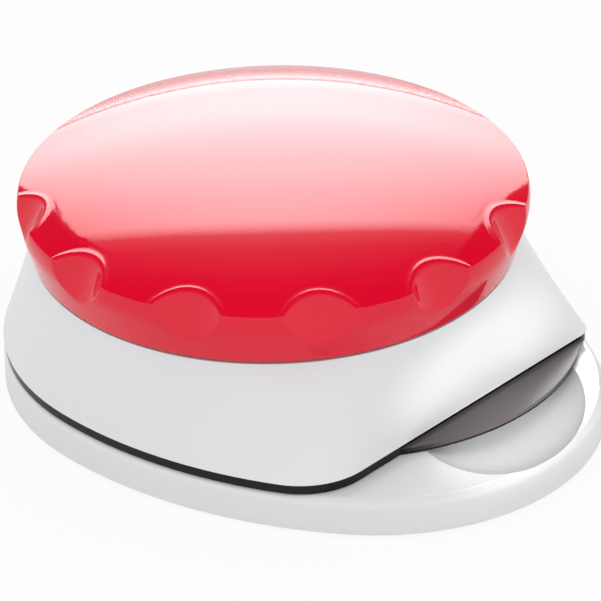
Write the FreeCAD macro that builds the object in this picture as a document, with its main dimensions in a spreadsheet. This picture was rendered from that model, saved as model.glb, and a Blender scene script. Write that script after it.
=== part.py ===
import FreeCAD, Part
import math
import os
import Sketcher

# Button badge maker: a hand press in two hinged halves, with a knob that drives the die down.
# Millimetres, +Z up, table at z = 0, finger tab towards -Y, hinge towards +Y.
# Origin: middle of the footprint. Each name is one cell of the sheet.
SIZES = {
    # plan outline shared by base and casing
    "body_length": 143.4,
    "back_radius": 58.2,
    "nose_radius": 49.6,
    "side_radius": 104.5,
    "knob_setback": 9.1,
    "front_cut": 54.7,
    "corner_left": 17.0,
    "corner_right": 5.0,
    # base
    "foot_height": 1.0,
    "foot_radius": 5.0,
    "foot_taper": 0.6,
    "foot_front_side": 30.0,
    "foot_front_inset": 33.7,
    "foot_back_side": 22.0,
    "foot_back_inset": 15.7,
    "base_lift": 0.7,
    "base_height": 8.4,
    "base_wall": 2.2,
    "base_deck": 2.6,
    "base_edge": 2.0,
    "cover_thickness": 1.4,
    "cover_gap": 0.2,
    "cover_screw_ring": 48.0,
    # finger scoop in the front of the base
    "scoop_reach": 55.9,
    "scoop_offset": 9.8,
    "scoop_length": 21.1,
    "scoop_width": 31.6,
    "scoop_back": 47.0,
    "scoop_floor": 4.2,
    "scoop_sink": 7.2,
    "scoop_wall": 1.4,
    "scoop_tilt": 39.9,
    # parting plate and its finger tab
    "parting_gap": 0.2,
    "plate_thickness": 2.3,
    "plate_inset": 0.3,
    "plate_bore": 33.0,
    "plate_screw_ring": 45.5,
    "tab_thickness": 1.4,
    "tab_radius": 53.0,
    "tab_reach": 64.3,
    "tab_offset": 10.6,
    "tab_root": 6.0,
    # casing
    "casing_height": 22.9,
    "casing_wall": 2.4,
    "casing_deck": 3.0,
    "casing_top_inset": 0.2,
    "casing_hole": 15.2,
    "boss_radius": 3.5,
    # hinge
    "hinge_inset": 4.0,
    "barrel_radius": 3.6,
    "barrel_gap": 0.5,
    "hinge_half": 15.0,
    "lid_knuckle_half": 5.7,
    "knuckle_gap": 0.3,
    "pin_radius": 1.5,
    "hinge_relief": 1.8,
    "hinge_relief_half": 27.0,
    "plate_back_gap": 0.6,
    # knob
    "knob_gap": 0.6,
    "knob_radius": 57.0,
    "knob_undercut": 2.8,
    "knob_skirt": 8.7,
    "knob_band": 3.8,
    "dome_rise": 12.4,
    "dome_wall": 2.5,
    "skirt_wall": 3.9,
    "shoulder_round": 3.4,
    "skirt_round": 7.5,
    "dent_count": 6,
    "dent_pitch": 30.0,
    "dent_radius": 12.0,
    "dent_length": 40.0,
    "dent_depth": 3.9,
    "dent_rise": 3.2,
    "dent_tilt": 27.0,
    "dent_start": 142.4,
    # knob carrier and drive
    "slip_thickness": 1.0,
    "slip_inner": 22.0,
    "slip_outer": 32.0,
    "hub_thickness": 3.0,
    "hub_rim": 2.5,
    "hub_rim_height": 2.6,
    "hub_gap": 0.5,
    "hub_screw_ring": 40.0,
    "post_radius": 10.0,
    "post_gap": 0.4,
    "sleeve_wall": 4.1,
    "sleeve_flange": 7.5,
    "sleeve_flange_thickness": 2.5,
    "sleeve_rise": 6.0,
    "sleeve_drop": 4.0,
    "sleeve_screw_ring": 18.5,
    "washer_thickness": 1.6,
    "washer_gap": 0.3,
    "washer_width": 6.5,
    "clip_thickness": 1.2,
    "clip_depth": 1.0,
    "clip_width": 3.2,
    "clip_opening": 5.0,
    "stroke": 6.0,
    "drive_lead": 24.0,
    "cross_pin_radius": 2.5,
    "cross_pin_drop": 5.0,
    "slot_gap": 0.35,
    # dies
    "platform_radius": 28.8,
    "platform_thickness": 2.2,
    "platform_drop": 2.3,
    "platform_stem": 4.0,
    "platform_travel": 1.5,
    "stem_boss_wall": 3.0,
    "spring_ring": 18.0,
    "spring_radius": 2.6,
    "spring_wire": 0.5,
    "spring_turns": 3.0,
    "spring_pocket": 1.2,
    "crimp_gap": 0.4,
    "crimp_wall": 2.3,
    "crimp_flange": 5.2,
    "crimp_flange_thickness": 2.0,
    "crimp_rest": 0.4,
    "crimp_screw_ring": 26.6,
    "cup_gap": 0.5,
    "cup_wall": 3.0,
    "cup_flange": 4.5,
    "cup_flange_thickness": 1.5,
    "cup_depth": 6.3,
    "cup_chamfer": 0.4,
    "seat_gap": 0.2,
    # ram, its guide and the plunger
    "ram_thickness": 3.5,
    "ram_gap": 0.6,
    "key_length": 3.0,
    "key_width": 7.0,
    "guide_wall": 5.4,
    "plunger_gap": 0.6,
    "plunger_thickness": 2.2,
    "plunger_rest": 4.0,
    "plunger_travel": 2.0,
    "plunger_stop_gap": 0.3,
    "bolt_radius": 3.0,
    "bolt_head_radius": 5.0,
    "bolt_head_height": 3.0,
    "bolt_seat": 3.5,
    "bolt_bite": 1.6,
    "bolt_head_gap": 0.6,
    "pocket_radius": 8.0,
    "pocket_depth": 5.0,
    "plunger_spring_radius": 6.2,
    "plunger_spring_wire": 1.0,
    "plunger_spring_turns": 4.0,
    # fasteners and fits
    "screw_radius": 1.3,
    "screw_head": 2.5,
    "screw_head_height": 1.2,
    "screw_length": 9.0,
    "small_screw_radius": 0.8,
    "small_screw_head": 1.4,
    "small_screw_head_height": 0.6,
    "small_screw_length": 2.2,
    "recess_width": 0.6,
    "fit_gap": 0.05,
    "cut_margin": 5.0,
}
# Counts, and where each ring starts in degrees from +X.
COVER_SCREWS = 4
CUP_SCREWS = 3
PLATE_SCREWS = 4
HUB_SCREWS = 4
SLEEVE_SCREWS = 4
CRIMP_SCREWS = 3
SPRINGS = 3
KEYS = 3
SLOTS = 2
CORNER_START = 45.0
SIDE_START = 30.0
BACK_START = 90.0
FULL_TURN = 360.0
QUARTER_TURN = FULL_TURN / 4
SAME_LEVEL = 1e-4  # heights closer than this are one level
# Crossed recess of a screw, as shares of its head height and head radius.
RECESS_DEPTH = 0.7
RECESS_REACH = 0.6

doc = FreeCAD.newDocument("BadgeMaker")
sheet = doc.addObject("Spreadsheet::Sheet", "Sizes")
NODES = []


class Size:
    """A number together with the sheet expression that gives it."""

    def __init__(self, value, text):
        self.value = value
        self.text = text

    def __add__(self, other):
        return Size(self.value + number(other), f"({self.text} + {words(other)})")

    def __sub__(self, other):
        return Size(self.value - number(other), f"({self.text} - {words(other)})")

    def __mul__(self, other):
        return Size(self.value * number(other), f"({self.text} * {words(other)})")

    def __truediv__(self, other):
        return Size(self.value / number(other), f"({self.text} / {words(other)})")

    def __neg__(self):
        return Size(-self.value, f"(0 - {self.text})")


def number(size):
    return size.value if isinstance(size, Size) else float(size)


def words(size):
    return size.text if isinstance(size, Size) else f"{float(size):.9f}"


class Sizes:
    """The sheet's cells, each as a Size under its own name."""


def fill_sheet():
    cells = Sizes()
    for row, (name, value) in enumerate(SIZES.items(), start=1):
        sheet.set(f"A{row}", name)
        sheet.set(f"B{row}", str(value))
        sheet.setAlias(f"B{row}", name)
        setattr(cells, name, Size(float(value), f"Sizes.{name}"))
    doc.recompute()
    return cells


d = fill_sheet()
ZERO = Size(0.0, "0")
MARGIN = d.cut_margin  # how far a cutting tool runs past the face it opens

# Heights of the main levels above the table.
base_top = d.base_lift + d.base_height
cover_top = d.foot_height + d.cover_thickness
plate_bottom = base_top + d.parting_gap
plate_top = plate_bottom + d.plate_thickness
casing_top = plate_top + d.casing_height
deck_under = casing_top - d.casing_deck
knob_bottom = casing_top + d.knob_gap
knob_widest = knob_bottom + d.knob_skirt
knob_shoulder = knob_widest + d.knob_band
knob_top = knob_shoulder + d.dome_rise
hub_bottom = casing_top + d.slip_thickness
hub_top = hub_bottom + d.hub_thickness
flange_top = hub_top + d.sleeve_flange_thickness
sleeve_top = flange_top + d.sleeve_rise
sleeve_bottom = deck_under - d.sleeve_drop
platform_top = base_top - d.platform_drop
platform_bottom = platform_top - d.platform_thickness
crimp_bottom = plate_top + d.crimp_rest
post_top = sleeve_top - d.post_gap
pin_height = post_top - d.cross_pin_drop
pad_bottom = crimp_bottom + d.plunger_rest
pad_top = pad_bottom + d.plunger_thickness
crimp_flange_low = pad_top + d.plunger_travel + d.plunger_stop_gap
ram_bottom = crimp_flange_low + d.crimp_flange_thickness
ram_top = ram_bottom + d.ram_thickness
pocket_top = ram_bottom + d.pocket_depth
bolt_seat = pocket_top + d.bolt_seat

# Radii that nest in each other, from the badge outwards.
crimp_inner = d.platform_radius + d.crimp_gap
crimp_outer = crimp_inner + d.crimp_wall
cup_inner = crimp_outer + d.cup_gap
cup_outer = cup_inner + d.cup_wall
cup_rim = cup_outer + d.cup_flange
guide_bore = crimp_outer + d.ram_gap
key_reach = guide_bore + d.key_length
guide_outer = guide_bore + d.guide_wall
knob_edge = d.knob_radius - d.knob_undercut
knob_bore = knob_edge - d.skirt_wall
casing_top_radius = knob_edge - d.casing_top_inset
sleeve_bore = d.post_radius + d.post_gap
sleeve_outer = sleeve_bore + d.sleeve_wall
flange_radius = sleeve_outer + d.sleeve_flange

# Places in plan.
knob_y = d.knob_setback
front_y = knob_y - d.front_cut
back_y = d.body_length / 2
back_centre = back_y - d.back_radius
nose_centre = d.nose_radius - back_y
hinge_y = back_y - d.hinge_inset
hinge_z = (base_top + plate_top) / 2


def bind(item, prop, size):
    """Set a property from a size and keep it tied to the sheet."""
    if isinstance(size, Size):
        item.setExpression(prop, size.text)
    else:
        setattr(item, prop, size)


def place(item, x=ZERO, y=ZERO, z=ZERO, rotation=None):
    here = FreeCAD.Vector(number(x), number(y), number(z))
    item.Placement = FreeCAD.Placement(here, rotation or FreeCAD.Rotation())
    for axis, size in (("x", x), ("y", y), ("z", z)):
        if isinstance(size, Size) and size is not ZERO:
            item.setExpression(f"Placement.Base.{axis}", size.text)
    return item


def node(item, label):
    item.Label = label
    NODES.append(item)
    return item


# Part primitives and booleans
def cylinder(name, radius, low, high, x=ZERO, y=knob_y):
    item = doc.addObject("Part::Cylinder", name)
    bind(item, "Radius", radius)
    bind(item, "Height", high - low)
    return place(item, x, y, low)


def cross_cylinder(name, radius, left, right, y=hinge_y, z=hinge_z):
    """A cylinder along X."""
    item = doc.addObject("Part::Cylinder", name)
    bind(item, "Radius", radius)
    bind(item, "Height", right - left)
    along_x = FreeCAD.Rotation(FreeCAD.Vector(0, 1, 0), 90)
    return place(item, left, y, z, along_x)


def box(name, low, high):
    item = doc.addObject("Part::Box", name)
    for prop, start, end in zip(("Length", "Width", "Height"), low, high):
        bind(item, prop, end - start)
    return place(item, *low)


def cone(name, low_radius, high_radius, low, high, x, y):
    item = doc.addObject("Part::Cone", name)
    bind(item, "Radius1", low_radius)
    bind(item, "Radius2", high_radius)
    bind(item, "Height", high - low)
    return place(item, x, y, low)


def ellipsoid(name, length, width, height, centre, tilt):
    item = doc.addObject("Part::Ellipsoid", name)
    bind(item, "Radius1", height)
    bind(item, "Radius2", width)
    bind(item, "Radius3", length)
    item.Angle1 = -90
    item.Angle2 = 90
    place(item, *centre)
    item.Placement.Rotation = FreeCAD.Rotation(FreeCAD.Vector(0, 0, 1), number(tilt))
    item.setExpression("Placement.Rotation.Angle", tilt.text)
    return item


def fuse(name, parts):
    item = doc.addObject("Part::MultiFuse", name)
    item.Shapes = parts
    item.Refine = True
    return item


def cut(name, base, tools, refine=True):
    item = doc.addObject("Part::Cut", name)
    item.Base = base
    item.Tool = tools[0] if len(tools) == 1 else fuse(f"{name}Tools", tools)
    item.Refine = refine
    return item


def common(name, parts):
    item = doc.addObject("Part::MultiCommon", name)
    item.Shapes = parts
    return item


def group(label, parts):
    item = doc.addObject("Part::Compound", label)
    item.Links = parts
    return node(item, label)


def on_ring(radius, count, start=CORNER_START):
    """Places evenly round the knob's axis."""
    places = []
    for index in range(count):
        angle = math.radians(start + FULL_TURN * index / count)
        places.append((radius * math.cos(angle), knob_y + radius * math.sin(angle)))
    return places


def holes(name, places, radius, low, high):
    return [cylinder(f"{name}{i}", radius, low, high, x, y) for i, (x, y) in enumerate(places)]


# Sketches and bodies
def new_body(label, y=knob_y):
    body = doc.addObject("PartDesign::Body", label)
    body.Label = label
    return place(body, ZERO, y, ZERO)


def origin_part(body, role):
    return [item for item in body.Origin.OriginFeatures if item.Role == role][0]


def new_sketch(body, name, plane, height=None):
    sketch = body.newObject("Sketcher::SketchObject", name)
    sketch.AttachmentSupport = (origin_part(body, plane), [""])
    sketch.MapMode = "FlatFace"
    if height is not None:
        sketch.AttachmentOffset = FreeCAD.Placement(
            FreeCAD.Vector(0, 0, number(height)), FreeCAD.Rotation())
        sketch.setExpression("AttachmentOffset.Base.z", height.text)
    return sketch


def dimension(sketch, kind, *args):
    """Add a dimension whose last argument is a size, tied to the sheet."""
    size = args[-1]
    index = sketch.addConstraint(Sketcher.Constraint(kind, *args[:-1], number(size)))
    if isinstance(size, Size):
        sketch.setExpression(f"Constraints[{index}]", size.text)


def pin_point(sketch, geometry, point, x, y):
    """Fix one point of the sketch at x, y from its origin."""
    for kind, axis, size in (("DistanceX", -2, x), ("DistanceY", -1, y)):
        if number(size) == 0.0:
            sketch.addConstraint(Sketcher.Constraint("PointOnObject", geometry, point, axis))
        else:
            dimension(sketch, kind, -1, 1, geometry, point, size)


def polygon(sketch, corners):
    spots = [FreeCAD.Vector(number(x), number(y), 0) for x, y in corners]
    count = len(spots)
    lines = [Part.LineSegment(spots[i], spots[(i + 1) % count]) for i in range(count)]
    sketch.addGeometry(lines, False)
    for i in range(count):
        sketch.addConstraint(Sketcher.Constraint("Coincident", i, 2, (i + 1) % count, 1))
    for i, (x, y) in enumerate(corners):
        pin_point(sketch, i, 1, x, y)


def revolve(body, sketch):
    turn = body.newObject("PartDesign::Revolution", "Turned")
    turn.Profile = sketch
    turn.ReferenceAxis = (sketch, ["V_Axis"])
    turn.Angle = FULL_TURN
    sketch.Visibility = False
    return turn


def turned(label, corners, y=knob_y):
    """A body of revolution about an upright axis, from (radius, height) corners."""
    body = new_body(label, y)
    sketch = new_sketch(body, f"{label}_profile", "XZ_Plane")
    polygon(sketch, corners)
    revolve(body, sketch)
    return body


def tube(label, inner, outer, low, high):
    return turned(label, [(inner, low), (outer, low), (outer, high), (inner, high)])


def pad(body, sketch, length):
    feature = body.newObject("PartDesign::Pad", "Pad")
    feature.Profile = sketch
    bind(feature, "Length", length)
    return feature


def heading(start, end):
    return math.atan2(end[1] - start[1], end[0] - start[0])


def arc(centre, radius, start, end):
    circle = Part.Circle(FreeCAD.Vector(*centre, 0), FreeCAD.Vector(0, 0, 1), radius)
    return Part.ArcOfCircle(circle, start, end)


def mirrored(spot):
    return (-spot[0], spot[1])


class Plan:
    """Numbers of the plan outline, used to draw the sketches near their solution."""

    def __init__(self):
        back = number(d.side_radius - d.back_radius)
        nose = number(d.side_radius - d.nose_radius)
        apart = number(back_centre - nose_centre)
        along = (back ** 2 - nose ** 2 + apart ** 2) / (2 * apart)
        self.back = (0.0, number(back_centre))
        self.nose = (0.0, number(nose_centre))
        self.side = (-math.sqrt(back ** 2 - along ** 2), number(back_centre) - along)

    def corner(self, radius):
        """Centre of a corner arc on the right, between the straight front and the long side."""
        height = number(front_y + radius)
        reach = number(d.side_radius - radius)
        return (self.side[0] + math.sqrt(reach ** 2 - (height - self.side[1]) ** 2), height)

    def on_side(self, towards):
        """Where the long side on the right passes a point seen from the side's centre."""
        turn = heading(self.side, towards)
        reach = number(d.side_radius)
        return (self.side[0] + reach * math.cos(turn), self.side[1] + reach * math.sin(turn))

    def joints(self):
        """Ends of the blunt outline's six pieces, from the left end of its straight front."""
        left = self.corner(d.corner_left)
        right = self.corner(d.corner_right)
        back = self.on_side(self.back)
        return [(-left[0], number(front_y)), (right[0], number(front_y)), self.on_side(right),
                back, mirrored(back), mirrored(self.on_side(left))]


def chain(sketch, kind, count):
    for i in range(count):
        sketch.addConstraint(Sketcher.Constraint(kind, i, 2, (i + 1) % count, 1))


def egg(sketch, inset):
    """The whole plan outline: nose, two long sides and back, each an arc."""
    plan = Plan()
    gap = number(inset)
    to_nose = heading(plan.side, plan.nose)
    to_back = heading(plan.side, plan.back)
    side = number(d.side_radius) - gap
    sketch.addGeometry([
        arc(plan.side, side, to_nose, to_back),
        arc(plan.back, number(d.back_radius) - gap, to_back, math.pi - to_back),
        arc(mirrored(plan.side), side, math.pi - to_back, math.pi - to_nose),
        arc(plan.nose, number(d.nose_radius) - gap, math.pi - to_nose, 2 * math.pi + to_nose),
    ], False)
    chain(sketch, "Tangent", 4)
    pin_point(sketch, 1, 3, ZERO, back_centre)
    pin_point(sketch, 3, 3, ZERO, nose_centre)
    sketch.addConstraint(Sketcher.Constraint("Equal", 0, 2))
    for geometry, size in ((0, d.side_radius), (1, d.back_radius), (3, d.nose_radius)):
        dimension(sketch, "Radius", geometry, size - inset)


def blunt_egg(sketch, inset):
    """The plan outline with its nose cut off straight and the two corners rounded, each its own way."""
    plan = Plan()
    gap = number(inset)
    right = plan.corner(d.corner_right)
    left = plan.corner(d.corner_left)
    to_right = heading(plan.side, right)
    to_left = math.pi - heading(plan.side, left)
    to_back = heading(plan.side, plan.back)
    side = number(d.side_radius) - gap
    front = number(front_y) + gap
    down = -math.pi / 2
    sketch.addGeometry([
        Part.LineSegment(FreeCAD.Vector(-left[0], front, 0), FreeCAD.Vector(right[0], front, 0)),
        arc(right, number(d.corner_right) - gap, down, to_right),
        arc(plan.side, side, to_right, to_back),
        arc(plan.back, number(d.back_radius) - gap, to_back, math.pi - to_back),
        arc(mirrored(plan.side), side, math.pi - to_back, to_left),
        arc(mirrored(left), number(d.corner_left) - gap, to_left, 2 * math.pi + down),
    ], False)
    nose = Part.Circle(FreeCAD.Vector(*plan.nose, 0), FreeCAD.Vector(0, 0, 1),
                       number(d.nose_radius) - gap)
    sketch.addGeometry([nose], True)
    chain(sketch, "Tangent", 6)
    sketch.addConstraint(Sketcher.Constraint("Horizontal", 0))
    dimension(sketch, "DistanceY", -1, 1, 0, 1, front_y + inset)
    pin_point(sketch, 3, 3, ZERO, back_centre)
    pin_point(sketch, 6, 3, ZERO, nose_centre)
    sketch.addConstraint(Sketcher.Constraint("Tangent", 2, 6))
    sketch.addConstraint(Sketcher.Constraint("Tangent", 4, 6))
    sketch.addConstraint(Sketcher.Constraint("Equal", 2, 4))
    for geometry, size in ((1, d.corner_right), (2, d.side_radius), (3, d.back_radius),
                           (5, d.corner_left), (6, d.nose_radius)):
        dimension(sketch, "Radius", geometry, size - inset)


def split_ring(sketch, radius):
    """A circle about the knob's axis in six arcs that answer to the blunt outline's six pieces."""
    centre = (0.0, number(knob_y))
    angles = []
    for spot in Plan().joints():
        turn = heading(centre, spot)
        while angles and turn < angles[-1]:
            turn += 2 * math.pi
        angles.append(turn)
    ends = [*angles[1:], angles[0] + 2 * math.pi]
    arcs = [arc(centre, number(radius), start, end) for start, end in zip(angles, ends)]
    sketch.addGeometry(arcs, False)
    count = len(arcs)
    chain(sketch, "Coincident", count)
    for i in range(1, count - 1):
        sketch.addConstraint(Sketcher.Constraint("Coincident", i, 3, 0, 3))
    sketch.addConstraint(Sketcher.Constraint("Equal", count - 1, 0))
    pin_point(sketch, 0, 3, ZERO, knob_y)
    dimension(sketch, "Radius", 0, radius)
    for i, turn in enumerate(angles):
        dimension(sketch, "DistanceX", -1, 1, i, 1, radius * math.cos(turn))


def egg_pad(label, inset, low, high):
    body = new_body(label, ZERO)
    sketch = new_sketch(body, f"{label}_outline", "XY_Plane", low)
    egg(sketch, inset)
    pad(body, sketch, high - low)
    return body


def flared_body(label, inset, top_radius, top):
    """Blunt outline at the parting plane, blended up into a circle under the knob."""
    body = new_body(label, ZERO)
    low = new_sketch(body, f"{label}_low", "XY_Plane", plate_top)
    blunt_egg(low, inset)
    high = new_sketch(body, f"{label}_high", "XY_Plane", top)
    split_ring(high, top_radius)
    doc.recompute()
    loft = body.newObject("PartDesign::AdditiveLoft", "Flare")
    loft.Profile = low
    loft.Sections = [high]
    loft.Ruled = True
    return body


# Fasteners and springs
def screw(name, x, y, head, tip, radius, head_radius, head_height):
    """Countersunk screw with a crossed recess, its head's flat at one end and its tip at the other."""
    up = number(tip) > number(head)
    neck = head + head_height if up else head - head_height
    low, high = (head, neck) if up else (neck, head)
    wide, thin = (head_radius, radius) if up else (radius, head_radius)
    taper = cone(f"{name}Head", wide, thin, low, high, x, y)
    shank = cylinder(f"{name}Shank", radius, *((neck, tip) if up else (tip, neck)), x, y)
    depth = head_height * RECESS_DEPTH
    floor, top = (head, head + depth) if up else (head - depth, head)
    arm = head_radius * RECESS_REACH
    half = d.recess_width / 2
    recess = [box(f"{name}Slot{i}", (x - a, y - b, floor), (x + a, y + b, top))
              for i, (a, b) in enumerate(((arm, half), (half, arm)))]
    return cut(name, fuse(f"{name}Blank", [taper, shank]), recess)


def screws(label, places, head, tip):
    parts = [screw(f"{label}_{i}", x, y, head, tip, d.screw_radius, d.screw_head, d.screw_head_height)
             for i, (x, y) in enumerate(places)]
    return group(label, parts)


def small_screws(label, places, head, tip):
    parts = [screw(f"{label}_{i}", x, y, head, tip, d.small_screw_radius, d.small_screw_head,
                   d.small_screw_head_height) for i, (x, y) in enumerate(places)]
    return group(label, parts)


def sinks(name, places, head, tip, radius, head_radius, head_height):
    """Cutting tools for countersunk holes that take those screws with a small clearance."""
    up = number(tip) > number(head)
    tools = []
    for i, (x, y) in enumerate(places):
        neck = head + head_height if up else head - head_height
        low, high = (head, neck) if up else (neck, head)
        wide, thin = (head_radius + d.fit_gap, radius + d.fit_gap)
        ends = (wide, thin) if up else (thin, wide)
        tools.append(cone(f"{name}Sink{i}", *ends, low, high, x, y))
        ends = (head, tip) if up else (tip, head)
        tools.append(cylinder(f"{name}Bore{i}", radius + d.fit_gap, *ends, x, y))
    return tools


def coil(radius, wire, turns, low, high):
    """A spring as one unbroken tube on quarter-turn arcs, its ends inside the given heights."""
    start = low + wire / 2
    rise = high - low - wire
    quarters = int(round(turns * 4))

    def spot(step):
        angle = math.pi / 2 * step
        height = start + rise * step / quarters
        return FreeCAD.Vector(radius * math.cos(angle), radius * math.sin(angle), height)

    arcs = [Part.Arc(spot(i), spot(i + 0.5), spot(i + 1)).toShape() for i in range(quarters)]
    path = Part.Wire(arcs)
    direction = arcs[0].tangentAt(arcs[0].FirstParameter)
    section = Part.Wire([Part.Circle(spot(0), direction, wire / 2).toShape()])
    shell = Part.BRepOffsetAPI.MakePipeShell(path)
    shell.add(section)
    shell.build()
    shell.makeSolid()
    print(f"coil gap between turns {rise / turns - wire:.2f} mm")
    return shell.shape()


def spring_node(label, shape, places):
    item = doc.addObject("Part::Feature", label)
    copies = [shape.translated(FreeCAD.Vector(number(x), number(y), 0)) for x, y in places]
    item.Shape = copies[0] if len(copies) == 1 else Part.makeCompound(copies)
    return node(item, label)


def spoke(name, inner, outer, width, low, high, angle):
    """A bar that points outwards from the knob's axis."""
    turn = math.radians(angle)
    item = doc.addObject("Part::Box", name)
    bind(item, "Length", outer - inner)
    bind(item, "Width", width)
    bind(item, "Height", high - low)
    x = inner * math.cos(turn) + width * (math.sin(turn) / 2)
    y = knob_y + inner * math.sin(turn) - width * (math.cos(turn) / 2)
    return place(item, x, y, low, FreeCAD.Rotation(FreeCAD.Vector(0, 0, 1), angle))


def flat_edges(shape, height):
    """Names of the edges that lie flat at a height."""
    names = []
    for index, edge in enumerate(shape.Edges, start=1):
        span = edge.BoundBox
        if max(abs(span.ZMin - height), abs(span.ZMax - height)) < SAME_LEVEL:
            names.append(f"Edge{index}")
    return names


def round_edges(body, heights, radius):
    doc.recompute()
    base = body.Tip
    fillet = body.newObject("PartDesign::Fillet", "Rounded")
    fillet.Base = (base, [name for z in heights for name in flat_edges(base.Shape, number(z))])
    bind(fillet, "Radius", radius)
    doc.recompute()


# Base half
def scoop_tool(name, extra):
    """Dished hollow under the finger tab, grown by a wall where its underside is wanted."""
    height = d.scoop_sink + extra
    centre = (d.scoop_offset, knob_y - d.scoop_reach, d.scoop_floor + d.scoop_sink)
    length = d.scoop_length + extra
    width = d.scoop_width + extra
    dish = ellipsoid(f"{name}Dish", length, width, height, centre, d.scoop_tilt)
    room = box(f"{name}Room", (-back_y, -back_y, ZERO),
               (back_y, knob_y - d.scoop_back + extra, base_top + MARGIN))
    return common(name, [dish, room])


def build_base_shell():
    block = egg_pad("base_block", ZERO, d.base_lift, base_top)
    round_edges(block, [base_top], d.base_edge)
    under_deck = base_top - d.base_deck
    cavity = egg_pad("base_cavity", d.base_wall, d.base_lift - MARGIN, under_deck)
    places = on_ring(d.cover_screw_ring, COVER_SCREWS)
    bosses = holes("BaseBoss", places, d.boss_radius, cover_top, under_deck + d.fit_gap)
    hollow = cut("BaseHollow", cavity, [scoop_tool("Bowl", d.scoop_wall), *bosses])
    seat = cylinder("CupSeat", cup_rim + d.seat_gap, base_top - d.cup_flange_thickness, base_top + MARGIN)
    well = cylinder("CupWell", cup_outer + d.seat_gap, d.base_lift, base_top + MARGIN)
    relief = box("HingeRelief", (-d.hinge_relief_half, hinge_y - d.plate_back_gap, base_top - d.hinge_relief),
                 (d.hinge_relief_half, back_y + MARGIN, base_top + MARGIN))
    shell = cut("BaseOpen", block, [hollow, scoop_tool("Scoop", ZERO), seat, well, relief])
    start = d.lid_knuckle_half + d.knuckle_gap
    right = cross_cylinder("KnuckleRight", d.barrel_radius, start, d.hinge_half)
    left = cross_cylinder("KnuckleLeft", d.barrel_radius, -d.hinge_half, -start)
    hinged = fuse("BaseHinged", [shell, right, left])
    recess = cross_cylinder("KnuckleRoom", d.barrel_radius + d.barrel_gap, -start, start)
    end = d.hinge_half + MARGIN
    pin_hole = cross_cylinder("BasePinHole", d.pin_radius + d.fit_gap, -end, end)
    bores = holes("BaseBore", places, d.screw_radius + d.fit_gap, d.base_lift, under_deck)
    cup_bores = holes("CupBore", cup_screw_places(), d.small_screw_radius + d.fit_gap,
                      base_top - d.small_screw_length, base_top)
    node(cut("BaseShell", hinged, [recess, pin_hole, *bores, *cup_bores]), "base_shell")


def build_cover():
    plate = egg_pad("cover_plate", d.base_wall + d.cover_gap, d.foot_height, cover_top)
    hole = d.platform_stem + d.fit_gap
    boss_top = platform_bottom - d.platform_travel - d.seat_gap
    boss = cylinder("StemBoss", hole + d.stem_boss_wall, d.foot_height, boss_top)
    whole = fuse("CoverBossed", [plate, boss])
    places = on_ring(d.cover_screw_ring, COVER_SCREWS)
    tip = base_top - d.base_deck
    tools = sinks("Cover", places, d.foot_height, tip, d.screw_radius, d.screw_head, d.screw_head_height)
    stem_hole = cylinder("StemHole", hole, d.foot_height - MARGIN, platform_bottom)
    node(cut("BottomCover", whole, [stem_hole, *tools]), "bottom_cover")
    screws("base_screws", places, d.foot_height, tip)


def build_feet():
    front = d.foot_front_inset - back_y
    back = back_y - d.foot_back_inset
    places = [(-d.foot_front_side, front), (d.foot_front_side, front), (-d.foot_back_side, back),
              (d.foot_back_side, back)]
    feet = [cone(f"Foot{i}", d.foot_radius - d.foot_taper, d.foot_radius, ZERO, d.foot_height, x, y)
            for i, (x, y) in enumerate(places)]
    group("rubber_feet", feet)


def cup_screw_places():
    return on_ring(cup_outer + d.cup_flange / 2, CUP_SCREWS, SIDE_START)


def build_cup():
    low = base_top - d.cup_depth
    step = base_top - d.cup_flange_thickness
    ring = turned("cup_ring", [
        (cup_inner, low), (cup_outer, low), (cup_outer, step), (cup_rim, step), (cup_rim, base_top),
        (cup_inner + d.cup_chamfer, base_top), (cup_inner, base_top - d.cup_chamfer)])
    places = cup_screw_places()
    tip = base_top - d.small_screw_length
    tools = sinks("Cup", places, base_top, tip, d.small_screw_radius, d.small_screw_head,
                  d.small_screw_head_height)
    node(cut("DieCup", ring, tools), "die_cup")
    small_screws("cup_screws", places, base_top, tip)


def build_platform():
    stem_low = d.foot_height + d.platform_travel + d.fit_gap
    plate = turned("platform_disc", [
        (ZERO, stem_low), (d.platform_stem, stem_low), (d.platform_stem, platform_bottom),
        (d.platform_radius, platform_bottom), (d.platform_radius, platform_top), (ZERO, platform_top)])
    places = on_ring(d.spring_ring, SPRINGS, BACK_START)
    ceiling = platform_bottom + d.spring_pocket
    room = d.spring_radius + d.spring_wire * 2
    pockets = holes("SpringPocket", places, room, platform_bottom - MARGIN, ceiling)
    node(cut("DiePlatform", plate, pockets), "die_platform")
    shape = coil(number(d.spring_radius), number(d.spring_wire), number(d.spring_turns),
                 number(cover_top), number(ceiling))
    spring_node("platform_springs", shape, places)


def build_hinge_pin():
    node(cross_cylinder("HingePin", d.pin_radius, -d.hinge_half, d.hinge_half), "hinge_pin")


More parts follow.
